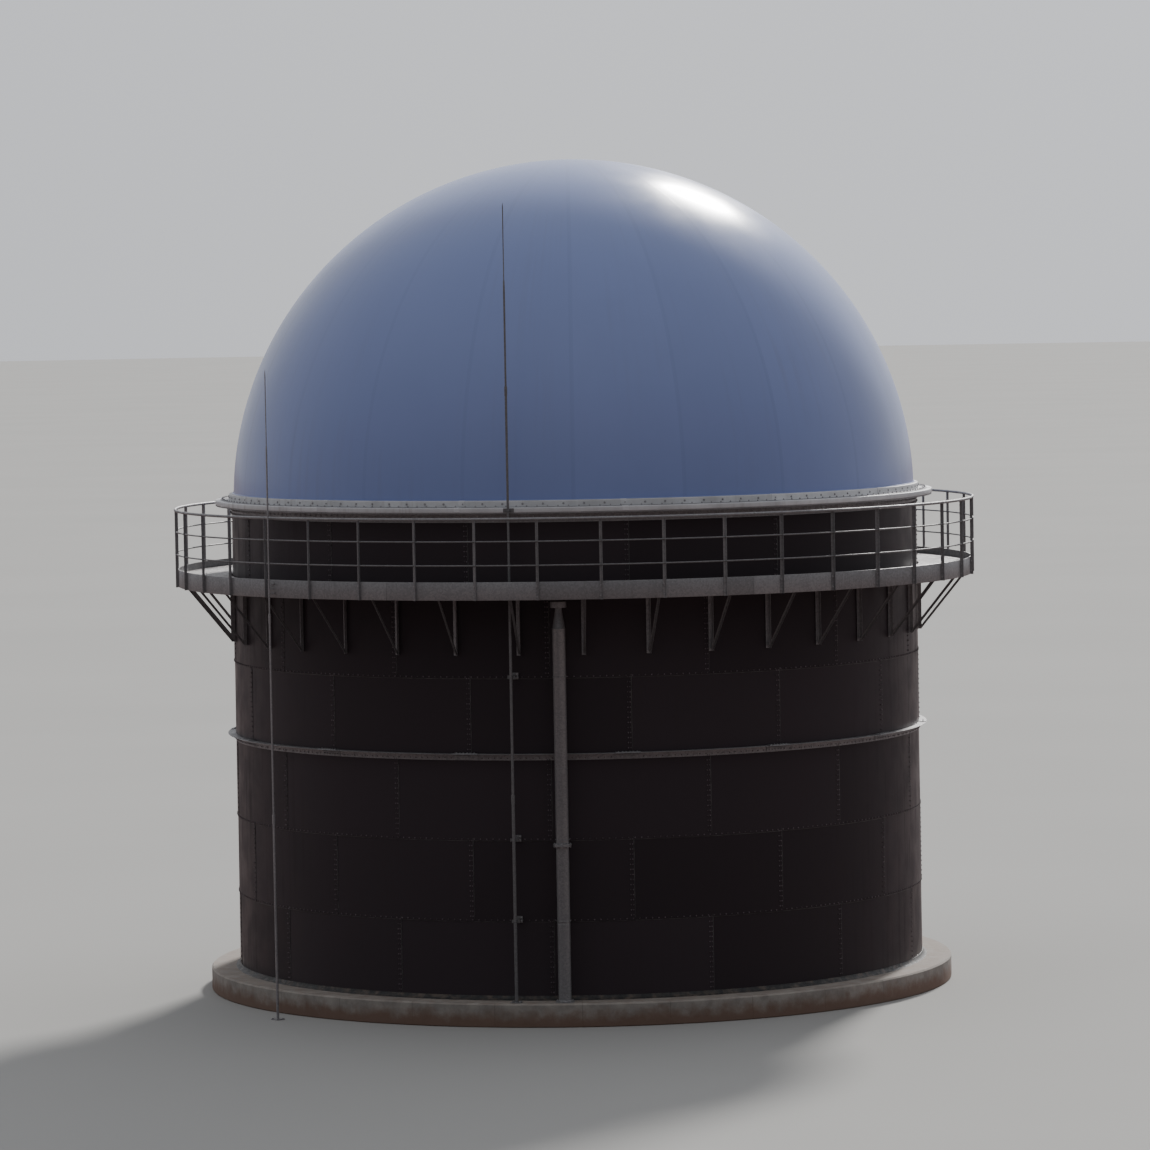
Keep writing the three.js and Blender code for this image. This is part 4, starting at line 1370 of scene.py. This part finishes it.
def cage():
    """Six hoops of flat bar round the climber, held to the stiles, and five upright straps bolted inside."""
    away, centre, levels = LADDER_AWAY, CAGE_AWAY, HOOP_LEVELS
    half, bar, flat = 0.32, 0.05, 0.007
    turn = np.linspace(-math.pi / 2, math.pi / 2, 33)
    bend = polar(turn, half, 0.0) - [0, centre, 0]
    start, end = (-half, -away, 0), (half, -away, 0)
    lug, behind = STILE_HALF + 0.01, CLEAR - away
    section = flat_section(flat, bar, 0.0015)
    hoop = joined(
        carried(np.concatenate([[start], bend, [end]]), section, UP),
        carried([(-lug, behind, 0), start], section, UP),
        carried([end, (lug, behind, 0)], section, UP))
    low, high = levels[0] - bar / 2, levels[-1] + bar / 2
    strap = upright_bar(half - flat, low, high, flat_section(bar, flat, 0.0015))
    straps, nuts = [], []
    for angle in np.linspace(-math.pi / 2, math.pi / 2, 5):
        straps.append(moved(turned(strap, angle), 0, centre))
        nut = turned(bolt_head(NUT, 0.008), angle, out=half + flat / 2)
        nuts.append(turned(moved(nut, 0, centre), 0, up=levels))
    piece("ladder_cage_hoops", ["ladder_cage"], "galvanised_steel",
          (zinc(), turned(hoop, 0, up=levels), *straps), (bright_zinc(), *nuts), bearing=LADDER)


# Manway

def manway():
    """A short round neck with a collar plate on the wall, and a bolted cover with two handles."""
    level, foot, b = MANWAY_LEVEL, WALL_OUTER - 0.006, BEVEL
    tube, flange = 0.305, 0.379
    cover_low, cover_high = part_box("manway_cover")
    out = math.hypot(*(np.add(cover_low[:2], cover_high[:2]) / 2)) - 0.01
    length = out - foot
    neck = tipped_out(lathe([
        (0, 0), (tube + 0.1, 0), (tube + 0.1, 0.01), (tube + 0.008, 0.012), (tube, 0.02),
        (tube, length - 0.022), (flange, length - 0.02), (flange, length - CLEAR), (0, length - CLEAR),
    ], 72))

    def bolted(nut, circle, away):
        """Nuts round a circle about the manway's own axis."""
        turn = even_turns(24, 0.5)
        return turned(nut, 0, circle * np.sin(turn), away, level + circle * np.cos(turn))

    circle = (tube + flange) / 2 + 0.004
    collar_bolts = bolted(nut_and_washer(NUT, NUT), tube + 0.055, foot + 0.011)
    back_nuts = bolted(tipped_out(prism(0.014, -0.034, -0.019)), circle, out)
    piece("manway_neck_ring", ["manway_neck"], "black_enamel",
          (enamel(), moved(neck, 0, foot, level)), (bright_zinc(), collar_bolts, back_nuts), bearing=MANWAY)

    cover = tipped_out(lathe([
        (0, 0), (flange - b, 0), (flange, b), (flange, 0.016), (flange - 0.003, 0.019), (tube - 0.03, 0.019),
        (tube - 0.06, 0.0195), (0, 0.0195),
    ], 72))
    heads = bolted(nut_and_washer(0.014, 0.016), circle, out + 0.019)
    grip = carried([(-0.07, 0, 0), (-0.07, -0.03, 0), (-0.055, -0.045, 0), (0.055, -0.045, 0),
                    (0.07, -0.03, 0), (0.07, 0, 0)], round_section(0.007, 10), UP)
    handles = turned(grip, 0, 0, out + 0.018, [level - 0.14, level + 0.14])
    piece("manway_cover_plate", ["manway_cover"], "black_enamel",
          (enamel(), moved(cover, 0, out, level)), (bright_zinc(), heads, handles), bearing=MANWAY)


# Stage

def stage_floor(sizes):
    """A plain pale disc, a little uneven in tone, that throws less light on the holder than it shows."""
    @finish("Stage floor")
    def ground(tree):
        shown = colour_of(sizes.floor_colour, 0.98), colour_of(sizes.floor_colour, 1.02)
        seen = tree.add("LightPath").outputs["Is Camera Ray"]
        bounce = colour_of(sizes.floor_bounce)
        return {
            "Base Color": tree.blend(seen, bounce, tree.blend(tree.clouds(0.08), *shown)),
            "Roughness": 0.9,
            "Specular IOR Level": 0.1,
        }

    disc = prism(sizes.floor_radius, -1.0, -CLEAR, 96)
    mesh = bpy.data.meshes.new("stage_floor")
    mesh.from_pydata(disc.points.tolist(), [], [list(f) for group in disc.faces for f in group])
    mesh.materials.append(ground())
    floor = bpy.data.objects.new("stage_floor", mesh)
    bpy.context.scene.collection.objects.link(floor)


def key_direction(sizes):
    """Unit vector towards the key light, from its bearing to the right of straight behind and its height."""
    level = math.cos(sizes.key_height)
    return Vector((
        math.sin(sizes.key_side) * level, math.cos(sizes.key_side) * level, math.sin(sizes.key_height)))


def stage_world(sizes):
    """Soft light from all round: a sky that glows round the key light and dims low behind the camera."""
    world = bpy.data.worlds.new("Studio light")
    bpy.context.scene.world = world
    world.use_nodes = True
    tree = Tree(world.node_tree)
    direction = tree.add("TexCoord").outputs["Generated"]
    _, y, z = tree.add("SeparateXYZ", direction).outputs
    dimmed = tree.times(tree.ramp(z, 0.95, -0.05), tree.ramp(y, 0.7, -0.7), sizes.front_light - 1)
    near_key = tree.add("VectorMath", direction, tuple(key_direction(sizes)), operation="DOT_PRODUCT")
    round_key = tree.math("POWER", tree.math("MAXIMUM", near_key.outputs["Value"], 0.0), sizes.glow_sharpness)
    strength = tree.times(tree.plus(dimmed, 1.0, tree.times(round_key, sizes.sky_glow)), sizes.sky_light)
    background = world.node_tree.nodes["Background"]
    background.inputs["Color"].default_value = (0.93, 0.95, 1.0, 1)
    tree.fill(background.inputs["Strength"], strength)


def stage_key(sizes):
    """The key light: a large soft disc far behind the holder and a little to its right."""
    light = bpy.data.lights.new("Key light", "SUN")
    light.energy = sizes.key_light
    light.angle = math.radians(sizes.key_softness)
    light.color = (1.0, 0.98, 0.95)
    made = bpy.data.objects.new("Key light", light)
    made.rotation_mode = "QUATERNION"
    made.rotation_quaternion = key_direction(sizes).to_track_quat("Z", "Y")
    bpy.context.scene.collection.objects.link(made)


def stage_camera(sizes):
    """The camera stands where the photograph was taken from, looks at the holder and is rolled as it was."""
    data = bpy.data.cameras.new("Camera")
    data.lens = sizes.lens
    data.sensor_width = 36
    data.clip_start, data.clip_end = 1.0, 3000.0
    camera = bpy.data.objects.new("Camera", data)
    place = Vector((0, -sizes.camera_distance, sizes.camera_height))
    aim = Vector((0, 0, sizes.aim_height))
    look = (aim - place).to_track_quat("-Z", "Y").to_matrix()
    roll = Matrix.Rotation(sizes.camera_roll, 3, "Z")
    camera.rotation_mode = "QUATERNION"
    camera.rotation_quaternion = (look @ roll).to_quaternion()
    camera.location = place
    bpy.context.scene.collection.objects.link(camera)
    bpy.context.scene.camera = camera


# What a user would change

def number_setting(name, description, default, **kind):
    return bpy.props.FloatProperty(name=name, description=description, default=default, **kind)


def size_setting(name, description, default):
    return number_setting(name, description, default, unit="LENGTH", precision=4)


def angle_setting(name, description, degrees):
    return number_setting(name, description, math.radians(degrees), subtype="ANGLE", unit="ROTATION")


def share_setting(name, description, default):
    return number_setting(name, description, default, min=0.0)


def count_setting(name, description, default):
    return bpy.props.IntProperty(name=name, description=description, default=default, min=1)


def colour_setting(name, description, *default):
    return bpy.props.FloatVectorProperty(
        name=name, description=description, default=default, subtype="COLOR", size=3, min=0.0, max=1.0)


class HolderWall(bpy.types.PropertyGroup):
    """Sizes of the wall's sheets and bolts."""

    sheet: size_setting("Sheet thickness", "Thickness of an enamelled sheet", 0.0045)
    side_lap: size_setting("Side lap", "How far a sheet lies over its neighbour", 0.075)
    foot_lap: size_setting("Foot lap", "How far a course lies over the one below", 0.04)
    bolts_up: count_setting("Bolts up a seam", "Bolts in each row of an upright seam", 16)
    bolts_along: count_setting("Bolts along a sheet", "Bolts along the foot of a sheet", 25)
    cap_radius: size_setting("Cap radius", "Radius of a bolt's cap", 0.0115)
    cap_height: size_setting("Cap height", "Height of a bolt's cap", 0.009)


class HolderMembranes(bpy.types.PropertyGroup):
    """Sizes of the outer membrane."""

    gores: count_setting("Gores", "Strips of cloth round the dome", 20)
    strip_width: size_setting("Strip width", "Width of the welded strip over a seam", 0.06)
    crown_radius: size_setting("Crown radius", "Radius of the patch on the crown", 0.75)
    dome_rise: size_setting("Dome rise", "Height of the dome above its widest circle", 5.25)
    thickness: size_setting("Cloth thickness", "Thickness of the cloth and its coats", 0.003)


class HolderWalkway(bpy.types.PropertyGroup):
    """Sizes of the walkway."""

    tread: size_setting("Tread plate", "Thickness of the deck's plate", 0.006)
    bracket_leg: size_setting("Bracket leg", "Leg of the bracket's angle", 0.06)
    strut_leg: size_setting("Strut leg", "Leg of the strut's angle", 0.036)
    bracket_plate: size_setting("Bracket plate", "Thickness of the bracket's angle", 0.006)


class HolderHandrail(bpy.types.PropertyGroup):
    """Sizes of the handrail."""

    top_tube: size_setting("Top rail radius", "Radius of the top rail", 0.0212)
    mid_tube: size_setting("Mid rail radius", "Radius of the two rails below", 0.0115)
    post_leg: size_setting("Post leg", "Leg of a post's angle", 0.043)
    post_plate: size_setting("Post plate", "Thickness of a post's angle", 0.005)


class HolderFittings(bpy.types.PropertyGroup):
    """Sizes of the masts, the pipe and the ladder."""

    mast_tube: size_setting("Mast radius", "Radius of the front mast's tube", 0.025)
    mast_tip: size_setting("Mast tip radius", "Radius of a mast's tip", 0.008)
    tip_length: size_setting("Mast tip length", "Length of a mast's thin tip", 1.2)
    pipe_tube: size_setting("Pipe radius", "Radius of the upright pipe", 0.0955)
    pipe_neck: size_setting("Pipe neck radius", "Radius of the pipe's neck", 0.05)
    pipe_cap: size_setting("Pipe cap radius", "Radius of the cap on the pipe", 0.1195)
    rung: size_setting("Rung radius", "Radius of a ladder rung", 0.011)


class HolderFinishes(bpy.types.PropertyGroup):
    """Colours of the finishes."""

    enamel: colour_setting("Enamel", "Black enamel of the sheets", 0.046, 0.0375, 0.043)
    dome: colour_setting("Dome", "Outer membrane", 0.256, 0.329, 0.632)
    inner: colour_setting("Inner membrane", "Gas membrane", 0.55, 0.55, 0.5)
    zinc: colour_setting("Zinc", "Galvanised steel", 0.31, 0.31, 0.32)
    clamp: colour_setting("Clamp", "Clamping rail", 0.7, 0.71, 0.73)
    concrete: colour_setting("Concrete", "Foundation", 0.36, 0.34, 0.31)
    soil: colour_setting("Soil", "Soil splashed on the foundation", 0.195, 0.118, 0.082)
    dust: colour_setting("Dust", "Dust on what faces up", 0.3, 0.25, 0.22)


class HolderStage(bpy.types.PropertyGroup):
    """Camera, floor and light."""

    camera_distance: size_setting("Camera distance", "From the tank's axis to the camera", 86.0)
    camera_height: size_setting("Camera height", "Height of the camera above the ground", 10.8)
    aim_height: size_setting("Aim height", "Level on the axis that the camera looks at", 6.35)
    camera_roll: angle_setting("Camera roll", "How far the camera is rolled", -1.0)
    lens: share_setting("Lens", "Focal length in millimetres", 172.0)
    floor_radius: size_setting("Floor radius", "Radius of the floor", 900.0)
    floor_colour: colour_setting("Floor", "Plain pale floor", 0.4, 0.395, 0.38)
    floor_bounce: colour_setting("Floor bounce", "Light that the floor throws back", 0.195, 0.148, 0.139)
    sky_light: share_setting("Sky light", "Strength of the light from all round", 0.6)
    sky_glow: share_setting("Sky glow", "How much brighter the sky is round the key light", 1.2)
    glow_sharpness: share_setting("Glow sharpness", "How quickly the glow falls off", 6.0)
    front_light: share_setting("Front light", "Share of it low down behind the camera", 0.15)
    key_light: share_setting("Key light", "Strength of the key light", 4.4)
    key_softness: share_setting("Key softness", "Width of the key light in degrees", 7.5)
    key_side: angle_setting("Key side", "Bearing of the key light, to the right of straight behind", 16)
    key_height: angle_setting("Key height", "Height of the key light above the horizon", 31.5)


GROUPS = {
    "holder_wall": HolderWall,
    "holder_membranes": HolderMembranes,
    "holder_walkway": HolderWalkway,
    "holder_handrail": HolderHandrail,
    "holder_fittings": HolderFittings,
    "holder_finishes": HolderFinishes,
    "holder_stage": HolderStage,
}


# Operators

class HOLDER_OT_foundation(bpy.types.Operator):
    """Adds the concrete foundation and the seal round the wall's foot."""

    bl_idname = "holder.foundation"
    bl_label = "Foundation"

    def execute(self, context):
        foundation()
        return {"FINISHED"}


class HOLDER_OT_wall(bpy.types.Operator):
    """Adds the six courses of lapped and bolted sheets."""

    bl_idname = "holder.wall"
    bl_label = "Wall sheets"

    def execute(self, context):
        wall(context.scene.holder_wall)
        return {"FINISHED"}


class HOLDER_OT_rings(bpy.types.Operator):
    """Adds the stiffener, the rim and the clamping rail."""

    bl_idname = "holder.rings"
    bl_label = "Rings"

    def execute(self, context):
        stiffener()
        rim()
        clamping_rail()
        return {"FINISHED"}


class HOLDER_OT_membranes(bpy.types.Operator):
    """Adds the outer membrane, and gives the inner one its cloth."""

    bl_idname = "holder.membranes"
    bl_label = "Membranes"

    def execute(self, context):
        outer_membrane(context.scene.holder_membranes)
        inner_membrane()
        return {"FINISHED"}


class HOLDER_OT_walkway(bpy.types.Operator):
    """Adds the walkway's plates, edge band and brackets."""

    bl_idname = "holder.walkway"
    bl_label = "Walkway"

    def execute(self, context):
        walkway(context.scene.holder_walkway)
        return {"FINISHED"}


class HOLDER_OT_handrail(bpy.types.Operator):
    """Adds the handrail's panels."""

    bl_idname = "holder.handrail"
    bl_label = "Handrail"

    def execute(self, context):
        handrail(context.scene.holder_handrail)
        return {"FINISHED"}


class HOLDER_OT_masts(bpy.types.Operator):
    """Adds the two lightning masts."""

    bl_idname = "holder.masts"
    bl_label = "Lightning masts"

    def execute(self, context):
        front_mast(context.scene.holder_fittings)
        left_mast(context.scene.holder_fittings)
        return {"FINISHED"}


class HOLDER_OT_pipe(bpy.types.Operator):
    """Adds the upright process pipe."""

    bl_idname = "holder.pipe"
    bl_label = "Process pipe"

    def execute(self, context):
        process_pipe(context.scene.holder_fittings)
        return {"FINISHED"}


class HOLDER_OT_ladder(bpy.types.Operator):
    """Adds the ladder and its cage."""

    bl_idname = "holder.ladder"
    bl_label = "Ladder and cage"

    def execute(self, context):
        ladder(context.scene.holder_fittings)
        cage()
        return {"FINISHED"}


class HOLDER_OT_manway(bpy.types.Operator):
    """Adds the manway's neck and cover."""

    bl_idname = "holder.manway"
    bl_label = "Manway"

    def execute(self, context):
        manway()
        return {"FINISHED"}


class HOLDER_OT_stage(bpy.types.Operator):
    """Adds the floor, the light and the camera."""

    bl_idname = "holder.stage"
    bl_label = "Stage"

    def execute(self, context):
        sizes = context.scene.holder_stage
        stage_camera(sizes)
        stage_floor(sizes)
        stage_world(sizes)
        stage_key(sizes)
        return {"FINISHED"}


OPERATORS = (
    HOLDER_OT_stage,
    HOLDER_OT_foundation,
    HOLDER_OT_wall,
    HOLDER_OT_rings,
    HOLDER_OT_membranes,
    HOLDER_OT_walkway,
    HOLDER_OT_handrail,
    HOLDER_OT_masts,
    HOLDER_OT_pipe,
    HOLDER_OT_ladder,
    HOLDER_OT_manway,
)


class HOLDER_PT_parts(bpy.types.Panel):
    """Lists the holder's pieces and their sizes."""

    bl_idname = "HOLDER_PT_parts"
    bl_label = "Biogas holder"
    bl_space_type = "VIEW_3D"
    bl_region_type = "UI"
    bl_category = "Biogas holder"

    def draw(self, context):
        for operator in OPERATORS:
            self.layout.operator(operator.bl_idname)
        for name, group in GROUPS.items():
            box = self.layout.box()
            box.label(text=group.__doc__)
            for prop in group.__annotations__:
                box.prop(getattr(context.scene, name), prop)


def register():
    for group in GROUPS.values():
        bpy.utils.register_class(group)
    for name, group in GROUPS.items():
        setattr(bpy.types.Scene, name, bpy.props.PointerProperty(type=group))
    for cls in (*OPERATORS, HOLDER_PT_parts):
        bpy.utils.register_class(cls)


def unregister():
    for cls in (HOLDER_PT_parts, *reversed(OPERATORS)):
        bpy.utils.unregister_class(cls)
    for name in GROUPS:
        delattr(bpy.types.Scene, name)
    for group in reversed(GROUPS.values()):
        bpy.utils.unregister_class(group)


def main():
    register()
    for operator in OPERATORS:
        getattr(bpy.ops.holder, operator.bl_idname.split(".")[1])()
    bpy.context.view_layer.update()


if __name__ == "__main__":
    main()
